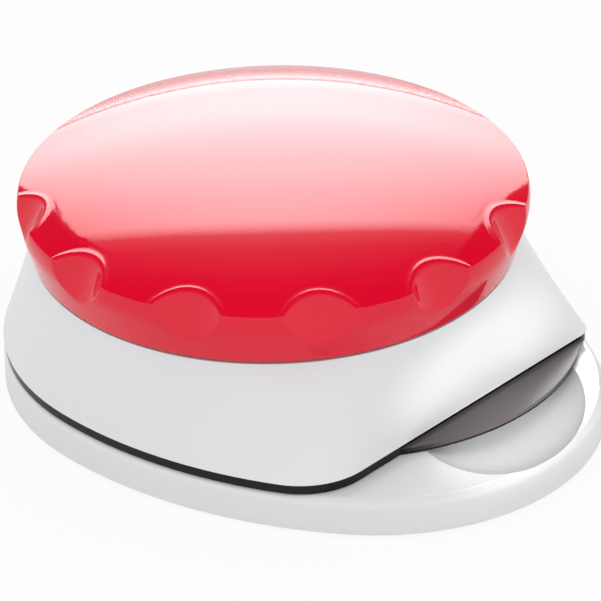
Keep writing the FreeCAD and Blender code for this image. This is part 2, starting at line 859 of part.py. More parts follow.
# Lid half
def build_under_plate():
    body = new_body("plate_blank", ZERO)
    sketch = new_sketch(body, "plate_outline", "XY_Plane", plate_bottom)
    blunt_egg(sketch, d.plate_inset)
    pad(body, sketch, d.plate_thickness)
    tab_top = plate_bottom + d.tab_thickness
    lip_y = knob_y - d.tab_reach + d.tab_radius
    lip = cylinder("TabArc", d.tab_radius, plate_bottom, tab_top, d.tab_offset, lip_y)
    lip_room = box("TabRoom", (-back_y, -back_y, plate_bottom), (back_y, front_y + d.tab_root, tab_top))
    lip_plan = egg_pad("tab_plan", d.plate_inset, plate_bottom, tab_top)
    tab = common("FingerTab", [lip, lip_room, lip_plan])
    knuckle_half = d.lid_knuckle_half
    rear = box("PlateRear", (-back_y, hinge_y - d.plate_back_gap, plate_bottom - MARGIN),
               (back_y, back_y + MARGIN, plate_top + MARGIN))
    clear = hinge_y - d.barrel_radius - d.barrel_gap
    edge = d.hinge_half + d.barrel_gap
    slot_right = box("PlateSlotRight", (knuckle_half, clear, plate_bottom - MARGIN),
                     (edge, back_y, plate_top + MARGIN))
    slot_left = box("PlateSlotLeft", (-edge, clear, plate_bottom - MARGIN),
                    (-knuckle_half, back_y, plate_top + MARGIN))
    trimmed = cut("PlateTrimmed", fuse("PlateTabbed", [body, tab]), [rear, slot_right, slot_left])
    knuckle = cross_cylinder("LidKnuckle", d.barrel_radius, -knuckle_half, knuckle_half)
    whole = fuse("PlateHinged", [trimmed, knuckle])
    end = knuckle_half + MARGIN
    pin_hole = cross_cylinder("LidPinHole", d.pin_radius + d.fit_gap, -end, end)
    bore = cylinder("PlateBore", d.plate_bore, plate_bottom - MARGIN, plate_top + MARGIN)
    places = on_ring(d.plate_screw_ring, PLATE_SCREWS)
    tip = plate_bottom + d.screw_length
    tools = sinks("Plate", places, plate_bottom, tip, d.screw_radius, d.screw_head, d.screw_head_height)
    node(cut("UnderPlate", whole, [pin_hole, bore, *tools]), "under_plate")
    screws("plate_screws", places, plate_bottom, tip)


def build_casing():
    block = flared_body("casing_block", ZERO, casing_top_radius, casing_top)
    cavity = flared_body("casing_cavity", d.casing_wall, casing_top_radius - d.casing_wall, deck_under)
    places = on_ring(d.plate_screw_ring, PLATE_SCREWS)
    bosses = holes("CasingBoss", places, d.boss_radius, plate_top, deck_under)
    hollow = cut("CasingHollow", cavity, bosses)
    hole = cylinder("CasingHole", d.casing_hole, deck_under - MARGIN, casing_top + MARGIN)
    bores = holes("CasingBore", places, d.screw_radius + d.fit_gap, plate_top, plate_bottom + d.screw_length)
    reach = d.barrel_radius + d.barrel_gap
    edge = d.hinge_half + d.barrel_gap
    notch = cross_cylinder("HingeNotch", reach, -edge, edge)
    notch_back = box("HingeNotchBack", (-edge, hinge_y, plate_bottom),
                     (edge, back_y + MARGIN, hinge_z + reach))
    node(cut("TopCasing", block, [hollow, hole, notch, notch_back, *bores]), "top_casing")


def key_turns():
    return [BACK_START + FULL_TURN * i / KEYS for i in range(KEYS)]


def build_guide():
    ring = tube("guide_ring", guide_bore, guide_outer, plate_top, deck_under)
    reach = key_reach + d.ram_gap
    width = d.key_width + d.ram_gap * 2
    grooves = [spoke(f"Keyway{i}", d.platform_radius, reach, width, plate_top, deck_under, turn)
               for i, turn in enumerate(key_turns())]
    node(cut("GuideSleeve", ring, grooves), "guide_sleeve")
    node(tube("slip_ring", d.slip_inner, d.slip_outer, casing_top, hub_bottom), "slip_ring")


# Knob
def dome_radius():
    return (d.knob_radius * d.knob_radius + d.dome_rise * d.dome_rise) / (d.dome_rise * 2)


def dome_sketch(sketch, corners, radius, top):
    """Straight corners from the axis outwards, closed by a domed arc back to the axis."""
    count = len(corners)
    spots = [FreeCAD.Vector(number(x), number(y), 0) for x, y in corners]
    centre_z = number(top - radius)
    rim = spots[-1]
    start = math.atan2(rim.y - centre_z, rim.x)
    apex = FreeCAD.Vector(0, number(top), 0)
    lines = [Part.LineSegment(spots[i], spots[i + 1]) for i in range(count - 1)]
    sketch.addGeometry([*lines, arc((0.0, centre_z), number(radius), start, math.pi / 2),
                        Part.LineSegment(apex, spots[0])], False)
    chain(sketch, "Coincident", count + 1)
    for i, (x, y) in enumerate(corners[:-1]):
        pin_point(sketch, i, 1, x, y)
    dimension(sketch, "DistanceX", -1, 1, count - 1, 1, corners[-1][0])
    sketch.addConstraint(Sketcher.Constraint("PointOnObject", count - 1, 2, -2))
    pin_point(sketch, count - 1, 3, ZERO, top - radius)
    dimension(sketch, "Radius", count - 1, radius)


def dent_rods():
    """Leaning rods that press the finger dents, each with its seam turned outwards."""
    lean = math.radians(number(d.dent_tilt))
    half = d.dent_length / 2
    reach = d.knob_radius - d.dent_depth + d.dent_radius * math.cos(lean) + half * math.sin(lean)
    level = knob_widest + d.dent_rise + d.dent_radius * math.sin(lean) - half * math.cos(lean)
    rods = []
    for index in range(round(number(d.dent_count))):
        angle = number(d.dent_start) + number(d.dent_pitch) * index
        turn = math.radians(angle)
        rod = doc.addObject("Part::Cylinder", f"Dent{index}")
        bind(rod, "Radius", d.dent_radius)
        bind(rod, "Height", d.dent_length)
        spin = FreeCAD.Rotation(angle, -number(d.dent_tilt), 0)
        rods.append(place(rod, reach * math.cos(turn), knob_y + reach * math.sin(turn), level, spin))
    return rods


def build_dome():
    """The red shell, whose seam and the line opposite it stay clear of the dents."""
    body = new_body("dome_block")
    middle = number(d.dent_start) + number(d.dent_pitch) * (number(d.dent_count) - 1) / 2
    place(body, y=knob_y, rotation=FreeCAD.Rotation(middle + QUARTER_TURN, 0, 0))
    sketch = new_sketch(body, "dome_profile", "XZ_Plane")
    dome_sketch(sketch, [(ZERO, knob_bottom), (knob_edge, knob_bottom), (d.knob_radius, knob_widest),
                         (d.knob_radius, knob_shoulder)], dome_radius(), knob_top)
    revolve(body, sketch)
    round_edges(body, [knob_shoulder], d.shoulder_round)
    round_edges(body, [knob_widest], d.skirt_round)
    cavity = new_body("dome_cavity")
    inner = new_sketch(cavity, "cavity_profile", "XZ_Plane")
    low = knob_bottom - MARGIN
    dome_sketch(inner, [(ZERO, low), (knob_bore, low), (knob_bore, knob_shoulder)],
                dome_radius() - d.dome_wall, knob_top - d.dome_wall)
    revolve(cavity, inner)
    places = on_ring(d.hub_screw_ring, HUB_SCREWS)
    bosses = holes("DomeBoss", places, d.boss_radius, hub_top, knob_top)
    hollow = cut("DomeHollow", cavity, bosses)
    bores = holes("DomeBore", places, d.screw_radius + d.fit_gap, hub_top, hub_bottom + d.screw_length)
    shell = cut("DomeShell", body, [hollow, *bores], refine=False)
    node(cut("KnobDome", shell, dent_rods(), refine=False), "knob_dome")


def build_hub():
    bore = sleeve_outer + d.fit_gap
    rim = knob_bore - d.hub_gap
    rim_top = hub_top + d.hub_rim_height
    disc_body = turned("hub_disc", [
        (bore, hub_bottom), (rim, hub_bottom), (rim, rim_top), (rim - d.hub_rim, rim_top),
        (rim - d.hub_rim, hub_top), (bore, hub_top)])
    outer = on_ring(d.hub_screw_ring, HUB_SCREWS)
    inner = on_ring(d.sleeve_screw_ring, SLEEVE_SCREWS)
    tip = hub_bottom + d.screw_length
    low_tip = hub_bottom + d.seat_gap
    tools = sinks("Hub", outer, hub_bottom, tip, d.screw_radius, d.screw_head, d.screw_head_height)
    tools += holes("HubBore", inner, d.screw_radius + d.fit_gap, low_tip, flange_top)
    node(cut("KnobHub", disc_body, tools), "knob_hub")
    screws("hub_screws", outer, hub_bottom, tip)
    screws("sleeve_screws", inner, flange_top, low_tip)


washer_top = deck_under - d.washer_gap
washer_low = washer_top - d.washer_thickness
clip_low = washer_low - d.clip_thickness
clip_inner = sleeve_outer - d.clip_depth


def slot_tool():
    """One helical slot: the cross pin drops by the stroke as the knob turns by its share of the lead."""
    half = number(d.cross_pin_radius + d.slot_gap)
    mean = number(sleeve_bore + sleeve_outer) / 2
    lead = number(d.drive_lead)
    stroke = number(d.stroke)
    slope = math.atan2(lead, 2 * math.pi * mean)
    tall = half / math.cos(slope)
    inner = number(d.post_radius - d.slot_gap)
    outer = number(sleeve_outer + d.slot_gap)
    corners = [(inner, -tall), (outer, -tall), (outer, tall), (inner, tall), (inner, -tall)]
    section = Part.makePolygon([FreeCAD.Vector(r, 0, z) for r, z in corners])
    helix = Part.makeHelix(lead, stroke, mean, 0, True)
    track = Part.Wire(helix).makePipeShell([section], True, True)
    turn = FULL_TURN * stroke / lead
    up = FreeCAD.Vector(0, 0, 1)
    end = Part.makeCylinder(half, outer - inner, FreeCAD.Vector(inner, 0, 0), FreeCAD.Vector(1, 0, 0))
    top = end.copy()
    top.rotate(FreeCAD.Vector(0, 0, 0), up, -turn)
    top.translate(FreeCAD.Vector(0, 0, stroke))
    slot = track.fuse([end, top])
    slot.rotate(FreeCAD.Vector(0, 0, 0), up, turn)
    item = doc.addObject("Part::Feature", "SlotTool")
    slots = []
    for index in range(SLOTS):
        copy = slot.copy()
        copy.rotate(FreeCAD.Vector(0, 0, 0), up, FULL_TURN * index / SLOTS)
        slots.append(copy)
    item.Shape = Part.makeCompound(slots)
    item.Placement = FreeCAD.Placement(
        FreeCAD.Vector(0, number(knob_y), number(pin_height - d.stroke)), FreeCAD.Rotation())
    return item


def build_sleeve():
    groove_low = clip_low - d.fit_gap
    groove_top = washer_low + d.fit_gap
    blank = turned("sleeve_blank", [
        (sleeve_bore, sleeve_bottom), (sleeve_outer, sleeve_bottom), (sleeve_outer, groove_low),
        (clip_inner, groove_low), (clip_inner, groove_top), (sleeve_outer, groove_top),
        (sleeve_outer, hub_top), (flange_radius, hub_top), (flange_radius, flange_top),
        (sleeve_outer, flange_top), (sleeve_outer, sleeve_top), (sleeve_bore, sleeve_top)])
    inner = on_ring(d.sleeve_screw_ring, SLEEVE_SCREWS)
    tools = sinks("Sleeve", inner, flange_top, hub_bottom + d.seat_gap, d.screw_radius, d.screw_head,
                  d.screw_head_height)
    node(cut("DriveSleeve", blank, [slot_tool(), *tools]), "drive_sleeve")


def build_retainers():
    inner = sleeve_outer + d.fit_gap
    node(tube("retaining_washer", inner, inner + d.washer_width, washer_low, washer_top), "retaining_washer")
    ring = tube("clip_ring", clip_inner + d.fit_gap, clip_inner + d.clip_width, clip_low, washer_low)
    half = d.clip_opening / 2
    opening = box("ClipOpening", (-half, knob_y - flange_radius, clip_low - MARGIN),
                  (half, knob_y, washer_low + MARGIN))
    node(cut("RetainingRing", ring, [opening]), "retaining_ring")


# Ram and plunger
def build_ram():
    head_bore = d.bolt_head_radius + d.bolt_head_gap
    bolt_bore = d.bolt_radius + d.fit_gap
    blank = turned("ram_blank", [
        (d.pocket_radius, ram_bottom), (crimp_outer, ram_bottom), (crimp_outer, ram_top),
        (d.post_radius, ram_top), (d.post_radius, post_top), (head_bore, post_top), (head_bore, bolt_seat),
        (bolt_bore, bolt_seat), (bolt_bore, pocket_top), (d.pocket_radius, pocket_top)])
    keys = [spoke(f"Key{i}", d.platform_radius, key_reach, d.key_width, ram_bottom, ram_top, turn)
            for i, turn in enumerate(key_turns())]
    whole = fuse("RamKeyed", [blank, *keys])
    pin_hole = cross_cylinder("CrossPinHole", d.cross_pin_radius + d.fit_gap, -sleeve_bore, sleeve_bore,
                              knob_y, pin_height)
    places = on_ring(d.crimp_screw_ring, CRIMP_SCREWS, SIDE_START)
    tip = crimp_flange_low + d.seat_gap
    tools = sinks("Ram", places, ram_top, tip, d.screw_radius, d.screw_head, d.screw_head_height)
    node(cut("RamBody", whole, [pin_hole, *tools]), "ram_body")
    node(cross_cylinder("CrossPin", d.cross_pin_radius, d.slot_gap - sleeve_outer, sleeve_outer - d.slot_gap,
                        knob_y, pin_height), "cross_pin")
    flange_inner = crimp_inner - d.crimp_flange
    ring = turned("crimp_blank", [
        (crimp_inner, crimp_bottom), (crimp_outer, crimp_bottom), (crimp_outer, ram_bottom),
        (flange_inner, ram_bottom), (flange_inner, crimp_flange_low), (crimp_inner, crimp_flange_low)])
    bores = holes("CrimpBore", places, d.screw_radius + d.fit_gap, tip, ram_top)
    node(cut("CrimpRing", ring, bores), "crimp_ring")
    screws("crimp_screws", places, ram_top, tip)


def build_plunger():
    radius = crimp_inner - d.plunger_gap
    hole = d.bolt_radius + d.fit_gap
    bolt_low = pad_top - d.bolt_bite
    node(turned("plunger_pad", [
        (ZERO, pad_bottom), (radius, pad_bottom), (radius, pad_top), (hole, pad_top), (hole, bolt_low),
        (ZERO, bolt_low)]), "plunger_pad")
    head_top = bolt_seat + d.bolt_head_height
    bolt = turned("bolt_blank", [
        (ZERO, bolt_low), (d.bolt_radius, bolt_low), (d.bolt_radius, bolt_seat),
        (d.bolt_head_radius, bolt_seat), (d.bolt_head_radius, head_top), (ZERO, head_top)])
    half = d.recess_width / 2
    slot = box("BoltSlot", (-d.bolt_head_radius, knob_y - half, head_top - d.recess_width),
               (d.bolt_head_radius, knob_y + half, head_top + MARGIN))
    node(cut("PlungerBolt", bolt, [slot]), "plunger_bolt")
    shape = coil(number(d.plunger_spring_radius), number(d.plunger_spring_wire),
                 number(d.plunger_spring_turns), number(pad_top), number(pocket_top))
    spring_node("plunger_spring", shape, [(ZERO, knob_y)])


def write_parts():
    doc.recompute()
    for item in doc.Objects:
        if "Invalid" in item.State or "Error" in item.State:
            raise RuntimeError(f"{item.Name} failed: {item.State}")
    for item in NODES:
        if item.Shape.isNull() or not item.Shape.isValid():
            raise RuntimeError(f"{item.Label} has no valid shape")
    os.makedirs("parts", exist_ok=True)
    for item in NODES:
        item.Shape.exportStep(f"parts/{item.Label}.step")
        print(f"{item.Label}: {len(item.Shape.Solids)} solids, {item.Shape.Volume:.1f} mm3")


build_base_shell()
build_cover()
build_feet()
build_cup()
build_platform()
build_hinge_pin()
build_under_plate()
build_casing()
build_guide()
build_dome()
build_hub()
build_sleeve()
build_retainers()
build_ram()
build_plunger()
write_parts()
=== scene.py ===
import math

import bmesh
import bpy
from bpy.props import FloatProperty, FloatVectorProperty, IntProperty, PointerProperty
from mathutils import Matrix, Vector


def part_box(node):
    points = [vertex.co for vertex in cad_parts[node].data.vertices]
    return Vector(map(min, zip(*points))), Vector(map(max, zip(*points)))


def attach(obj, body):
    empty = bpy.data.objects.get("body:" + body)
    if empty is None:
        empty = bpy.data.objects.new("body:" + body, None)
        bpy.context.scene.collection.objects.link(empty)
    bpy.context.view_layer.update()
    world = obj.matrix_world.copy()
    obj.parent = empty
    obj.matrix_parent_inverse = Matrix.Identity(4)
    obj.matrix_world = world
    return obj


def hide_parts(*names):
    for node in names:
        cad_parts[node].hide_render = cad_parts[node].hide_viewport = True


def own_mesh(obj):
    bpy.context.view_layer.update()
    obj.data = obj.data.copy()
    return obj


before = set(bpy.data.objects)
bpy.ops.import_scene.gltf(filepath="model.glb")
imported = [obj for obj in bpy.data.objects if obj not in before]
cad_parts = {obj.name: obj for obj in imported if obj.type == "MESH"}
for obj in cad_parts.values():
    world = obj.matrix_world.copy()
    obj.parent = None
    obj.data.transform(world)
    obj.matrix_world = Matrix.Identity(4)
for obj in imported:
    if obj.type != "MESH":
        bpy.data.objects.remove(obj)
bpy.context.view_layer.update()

bl_info = {
    "name": "Button Badge Maker",
    "version": (1, 0, 0),
    "blender": (4, 5, 0),
    "location": "View3D > Sidebar > Badge Maker",
    "description": "Finishes, soft-edged pieces and a studio for a hand press with a turning knob",
    "category": "Object",
}

PHOTO_PIXELS = 601
FULL_TURN = 2 * math.pi
MILLIMETRE = 0.001
# Points closer than this are one.
MERGE = 0.001 * MILLIMETRE
# Share of its colour that a finish keeps where it is dull, and roughness that a full scuff adds.
DULL = 0.82
SCUFF_ROUGHNESS = 0.05

# Places read from the frame, in metres.
KNOB_LOW, KNOB_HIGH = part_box("knob_dome")
RING_LOW, RING_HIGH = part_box("slip_ring")
CASING_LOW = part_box("top_casing")[0]
FRONT_EDGE = Vector((0, CASING_LOW.y, CASING_LOW.z))
KNOB_AXIS = Vector(((RING_LOW.x + RING_HIGH.x) / 2, (RING_LOW.y + RING_HIGH.y) / 2, 0))


def length(name, description, default):
    return FloatProperty(name=name, description=description, default=default, unit="LENGTH", precision=5)


def number(name, description, default):
    return FloatProperty(name=name, description=description, default=default)


def angle(name, description, default):
    return FloatProperty(name=name, description=description, default=math.radians(default), subtype="ANGLE")


def colour(name, description, default):
    return FloatVectorProperty(name=name, description=description, default=default, subtype="COLOR",
                               min=0.0, max=1.0)


class KnobSizes(bpy.types.PropertyGroup):
    """Sizes of the turning knob's shell."""

    radius: length("Radius", "Radius of the widest ring", 0.057)
    skirt: length("Skirt", "Height from the lower edge to the widest ring", 0.0087)
    band: length("Band", "Height of the upright band above the widest ring", 0.0038)
    undercut: length("Undercut", "How far the lower edge lies inside the widest ring", 0.0028)
    wall: length("Skirt wall", "Thickness at the lower edge", 0.0039)
    dome_wall: length("Dome wall", "Thickness of the dome", 0.0025)
    dome_rise: length("Dome rise", "Height of the dome above the shoulder", 0.0124)
    shoulder_round: length("Shoulder round", "Set-back of the rounding under the dome", 0.0022)
    skirt_round: length("Skirt round", "Set-back of the rounding at the widest ring", 0.0013)
    lip_round: length("Lip round", "Set-back of the rounding along the lower edge", 0.0003)
    dents: IntProperty(name="Dents", description="Finger dents along the rim", default=6, min=1)
    dent_pitch: angle("Dent pitch", "Turn from one dent to the next", 30.0)
    dent_radius: length("Dent radius", "Radius of the leaning rod that makes a dent", 0.012)
    dent_depth: length("Dent depth", "Depth of a dent inside the widest ring", 0.0039)
    dent_rise: length("Dent rise", "Height above the widest ring where that depth is taken", 0.0032)
    dent_tilt: angle("Dent tilt", "Lean of the rod from upright", 27.0)
    dent_start: angle("First dent", "Turn of the first dent from +X", 142.4)
    dent_soft: length("Dent softness", "Width of the soft rim round a dent", 0.0002)
    dent_lip: length("Dent lip", "Height of the raised lip along a dent's upper edge", 0.0002)
    dent_lip_width: length("Dent lip width", "Distance of that lip's crest from the dent", 0.0005)


class SpringSizes(bpy.types.PropertyGroup):
    """Sizes of the wound springs."""

    platform_radius: length("Platform coil", "Mean radius of a platform spring", 0.0026)
    platform_wire: length("Platform wire", "Wire diameter of a platform spring", 0.0005)
    platform_turns: number("Platform turns", "Turns in a platform spring", 3.0)
    platform_ring: length("Platform ring", "Radius of the ring of platform springs", 0.018)
    platform_count: IntProperty(name="Platform springs", description="Springs under the platform", default=3)
    plunger_radius: length("Plunger coil", "Mean radius of the plunger spring", 0.0062)
    plunger_wire: length("Plunger wire", "Wire diameter of the plunger spring", 0.001)
    plunger_turns: number("Plunger turns", "Turns in the plunger spring", 4.0)


class FinishColours(bpy.types.PropertyGroup):
    """Colours of the finishes, as scene-linear values."""

    knob: colour("Knob", "Red plastic of the knob", (0.84, 0.004, 0.030))
    knob_deep: colour("Knob, deep", "Red plastic where the melt flowed thicker", (0.70, 0.002, 0.022))
    body: colour("Body", "White plastic of base and casing", (0.80, 0.81, 0.83))
    body_deep: colour("Body, deep", "White plastic where it is a little duller", (0.75, 0.755, 0.77))
    tab: colour("Tab", "Dark grey plastic of the parting plate", (0.092, 0.080, 0.088))
    tab_pale: colour("Tab, pale", "Dark grey plastic where it is rubbed", (0.120, 0.104, 0.113))
    # Painted shade: a near-black colour that stands in for the shadow in the gap along the plate's upright
    # edge.
    tab_gap_shade: colour("Tab, painted gap shade", "Dark plastic with painted gap shade along the plate's upright edge", (0.003, 0.003, 0.003))
    cover: colour("Cover", "Powder coat of the bottom cover", (0.045, 0.046, 0.050))
    rubber: colour("Rubber", "Black rubber of the feet", (0.018, 0.018, 0.019))
    steel: colour("Die steel", "Turned steel of the dies", (0.56, 0.56, 0.58))
    drive: colour("Drive steel", "Oiled steel of the drive", (0.38, 0.37, 0.37))
    zinc: colour("Zinc", "Plated steel of the screws", (0.62, 0.63, 0.66))
    wire: colour("Wire", "Drawn wire of the springs", (0.46, 0.46, 0.48))
    aluminium: colour("Aluminium", "Turned aluminium", (0.76, 0.77, 0.79))
    inner: colour("Inner moulding", "Unpainted plastic inside the lid", (0.62, 0.61, 0.57))
    pad: colour("Plunger pad", "Firm dark plastic of the plunger pad", (0.055, 0.056, 0.060))


class StageSizes(bpy.types.PropertyGroup):
    """Camera, lights and floor."""

    elevation: angle("Elevation", "Camera height angle", 30.48)
    azimuth: angle("Azimuth", "Camera turn from the front, towards +X", -47.2)
    roll: angle("Roll", "Camera roll", 1.54)
    distance: length("Distance", "Camera distance", 1.5)
    target_height: length("Target height", "Height that the camera looks at", 0.0201)
    focal_pixels: number("Focal length", "Focal length in pixels of the photograph", 6703.5)
    shift_x: number("Shift X", "Sideways shift in pixels of the photograph", 24.5)
    shift_y: number("Shift Y", "Upward shift in pixels of the photograph", -5.7)
    floor_half: length("Floor", "Half the floor's width", 6.0)
    floor_white: number("Floor white", "Share of plain white in what the camera sees of the floor", 0.90)
    ambient: number("Ambient", "Level of the even light from all round", 1.0)
    softbox: number("Softbox", "Brightness of the leaning softbox", 8.4)
    scoop_watts: number("Scoop lamp", "Power of the lamp on the finger scoop", 34.0)
    casing_watts: number("Casing lamp", "Power of the lamp on the casing's straight front", 11.0)
    floor_watts: number("Floor lamp", "Power of the lamp on the floor behind", 58.0)


class BadgeMaker(bpy.types.PropertyGroup):
    """All settings of the badge maker."""

    knob: PointerProperty(type=KnobSizes)
    springs: PointerProperty(type=SpringSizes)
    colours: PointerProperty(type=FinishColours)
    stage: PointerProperty(type=StageSizes)


def settings():
    return bpy.context.scene.badge_maker


# Node helpers
def add(tree, kind, values=None, **attributes):
    """A node with attributes set by name and unlinked inputs set by socket name or number."""
    item = tree.nodes.new(kind)
    for name, value in attributes.items():
        setattr(item, name, value)
    for socket, value in (values or {}).items():
        item.inputs[socket].default_value = value
    return item


def wire(tree, start, end):
    tree.links.new(start, end)


def math_node(tree, operation, first, second=None):
    """A Math node fed by sockets or plain numbers."""
    item = add(tree, "ShaderNodeMath", operation=operation)
    for index, value in enumerate((first, second)):
        if isinstance(value, bpy.types.NodeSocket):
            wire(tree, value, item.inputs[index])
        elif value is not None:
            item.inputs[index].default_value = value
    return item.outputs[0]


def spread(tree, value, low, high):
    """Stretch a 0 to 1 value between two numbers."""
    item = add(tree, "ShaderNodeMapRange", {"To Min": low, "To Max": high})
    wire(tree, value, item.inputs["Value"])
    return item.outputs["Result"]


def mix_colours(tree, factor, first, second):
    item = add(tree, "ShaderNodeMix", data_type="RGBA")
    sockets = [s for s in item.inputs if s.type == "RGBA"]
    for socket, value in zip(sockets, (first, second)):
        if isinstance(value, bpy.types.NodeSocket):
            wire(tree, value, socket)
        else:
            socket.default_value = (*value, 1.0)
    wire(tree, factor, item.inputs["Factor"])
    return [s for s in item.outputs if s.type == "RGBA"][0]


def noise(tree, vector, size, detail=2.0, roughness=0.5):
    """Noise with features of about a size in metres."""
    item = add(tree, "ShaderNodeTexNoise", {"Scale": 1.0 / size, "Detail": detail, "Roughness": roughness})
    wire(tree, vector, item.inputs["Vector"])
    return item.outputs["Fac"]


def new_group(name, inputs, outputs):
    """An empty shader node group with its sockets; returns its tree and its two ends."""
    tree = bpy.data.node_groups.new(name, "ShaderNodeTree")
    for label, kind, default in inputs:
        socket = tree.interface.new_socket(label, in_out="INPUT", socket_type=kind)
        socket.default_value = default
    for label in outputs:
        tree.interface.new_socket(label, in_out="OUTPUT", socket_type="NodeSocketFloat")
    return tree, tree.nodes.new("NodeGroupInput"), tree.nodes.new("NodeGroupOutput")


def moulded_skin():
    """Slow flow marks, patchy polish and a fine skin, as on moulded plastic."""
    if "Moulded skin" in bpy.data.node_groups:
        return bpy.data.node_groups["Moulded skin"]
    inputs = [("Flow scale", "NodeSocketFloat", 30.0), ("Skin scale", "NodeSocketFloat", 900.0)]
    tree, start, end = new_group("Moulded skin", inputs, ("Flow", "Polish", "Skin"))
    place = add(tree, "ShaderNodeTexCoord").outputs["Object"]
    for output, socket, detail in (("Flow", "Flow scale", 1.0), ("Skin", "Skin scale", 2.0)):
        pattern = add(tree, "ShaderNodeTexNoise", {"Detail": detail})
        wire(tree, place, pattern.inputs["Vector"])
        wire(tree, start.outputs[socket], pattern.inputs["Scale"])
        wire(tree, pattern.outputs["Fac"], end.inputs[output])
    polish = noise(tree, place, size=18 * MILLIMETRE, detail=4.0, roughness=0.65)
    wire(tree, polish, end.inputs["Polish"])
    return tree


def turning_marks():
    """Fine rings round an upright axis, as a lathe leaves them."""
    if "Turning marks" in bpy.data.node_groups:
        return bpy.data.node_groups["Turning marks"]
    inputs = [("Centre", "NodeSocketVector", (0.0, 0.0, 0.0)),
              ("Rings per metre", "NodeSocketFloat", 2500.0)]
    tree, start, end = new_group("Turning marks", inputs, ("Ring", "Tone"))
    place = add(tree, "ShaderNodeTexCoord").outputs["Object"]
    offset = add(tree, "ShaderNodeVectorMath", operation="SUBTRACT")
    wire(tree, place, offset.inputs[0])
    wire(tree, start.outputs["Centre"], offset.inputs[1])
    flat = add(tree, "ShaderNodeVectorMath", operation="MULTIPLY")
    wire(tree, offset.outputs[0], flat.inputs[0])
    flat.inputs[1].default_value = (1.0, 1.0, 0.0)
    reach = add(tree, "ShaderNodeVectorMath", operation="LENGTH")
    wire(tree, flat.outputs[0], reach.inputs[0])
    height = add(tree, "ShaderNodeSeparateXYZ")
    wire(tree, offset.outputs[0], height.inputs[0])
    along = math_node(tree, "ADD", reach.outputs["Value"], height.outputs["Z"])
    turns = math_node(tree, "MULTIPLY", along, start.outputs["Rings per metre"])
    jitter = math_node(tree, "MULTIPLY", noise(tree, place, size=4 * MILLIMETRE), 2.0)
    ring = add(tree, "ShaderNodeMapRange", {"From Min": -1.0, "To Min": 0.5})
    wire(tree, math_node(tree, "SINE", math_node(tree, "ADD", turns, jitter)), ring.inputs["Value"])
    wire(tree, ring.outputs["Result"], end.inputs["Ring"])
    wire(tree, noise(tree, place, size=12 * MILLIMETRE, detail=3.0), end.inputs["Tone"])
    return tree


def handling_marks():
    """A sparse mask of hairline scuffs from handling."""
    if "Handling marks" in bpy.data.node_groups:
        return bpy.data.node_groups["Handling marks"]
    inputs = [("Amount", "NodeSocketFloat", 0.5)]
    tree, start, end = new_group("Handling marks", inputs, ("Scuff",))
    place = add(tree, "ShaderNodeTexCoord").outputs["Object"]
    turned = add(tree, "ShaderNodeMapping")
    turned.inputs["Rotation"].default_value = (0.3, 0.2, 0.7)
    turned.inputs["Scale"].default_value = (1.0, 0.06, 1.0)
    wire(tree, place, turned.inputs["Vector"])
    hair = noise(tree, turned.outputs["Vector"], size=0.6 * MILLIMETRE, roughness=0.6)
    patch = noise(tree, place, size=20 * MILLIMETRE)
    lines = add(tree, "ShaderNodeMapRange", {"From Min": 0.66, "From Max": 0.74})
    wire(tree, hair, lines.inputs["Value"])
    areas = add(tree, "ShaderNodeMapRange", {"From Min": 0.52, "From Max": 0.66})
    wire(tree, patch, areas.inputs["Value"])
    both = math_node(tree, "MULTIPLY", lines.outputs["Result"], areas.outputs["Result"])
    wire(tree, math_node(tree, "MULTIPLY", both, start.outputs["Amount"]), end.inputs["Scuff"])
    return tree


def shade(tint, share):
    return [channel * share for channel in tint]


def place_group(tree, group, **values):
    item = tree.nodes.new("ShaderNodeGroup")
    item.node_tree = group
    for name, value in values.items():
        item.inputs[name.replace("_", " ")].default_value = value
    return item


def new_material(name, **constants):
    """A material with a Principled BSDF whose even values are set on its own sockets."""
    material = bpy.data.materials.new(name)
    material.use_nodes = True
    tree = material.node_tree
    shader = [n for n in tree.nodes if n.type == "BSDF_PRINCIPLED"][0]
    for socket, value in constants.items():
        shader.inputs[socket.replace("_", " ")].default_value = value
    return material, tree, shader


def bump(tree, shader, height, distance):
    item = add(tree, "ShaderNodeBump", {"Strength": 1.0, "Distance": distance})
    wire(tree, height, item.inputs["Height"])
    wire(tree, item.outputs["Normal"], shader.inputs["Normal"])


def moulded_plastic(name, pale, deep, smooth, rough, skin_depth, scuff, **constants):
    """Moulded plastic: colour drifts with the flow, polish is patchy, scuffs dull it a little."""
    material, tree, shader = new_material(name, **constants)
    skin = place_group(tree, moulded_skin())
    marks = place_group(tree, handling_marks(), Amount=scuff)
    wire(tree, mix_colours(tree, skin.outputs["Flow"], pale, deep), shader.inputs["Base Color"])
    polish = spread(tree, skin.outputs["Polish"], smooth, rough)
    dulled = math_node(tree, "MULTIPLY", marks.outputs["Scuff"], SCUFF_ROUGHNESS)
    wire(tree, math_node(tree, "ADD", polish, dulled), shader.inputs["Roughness"])
    bump(tree, shader, skin.outputs["Skin"], skin_depth)
    return material


def turned_metal(name, tint, smooth, rough, ring_depth, **constants):
    """Metal with lathe rings round the knob's axis and a slow change of tone."""
    material, tree, shader = new_material(name, Metallic=1.0, **constants)
    rings = place_group(tree, turning_marks(), Centre=KNOB_AXIS)
    tone = mix_colours(tree, rings.outputs["Tone"], tint, shade(tint, DULL))
    wire(tree, tone, shader.inputs["Base Color"])
    wire(tree, spread(tree, rings.outputs["Ring"], smooth, rough), shader.inputs["Roughness"])
    bump(tree, shader, rings.outputs["Ring"], ring_depth)
    return material


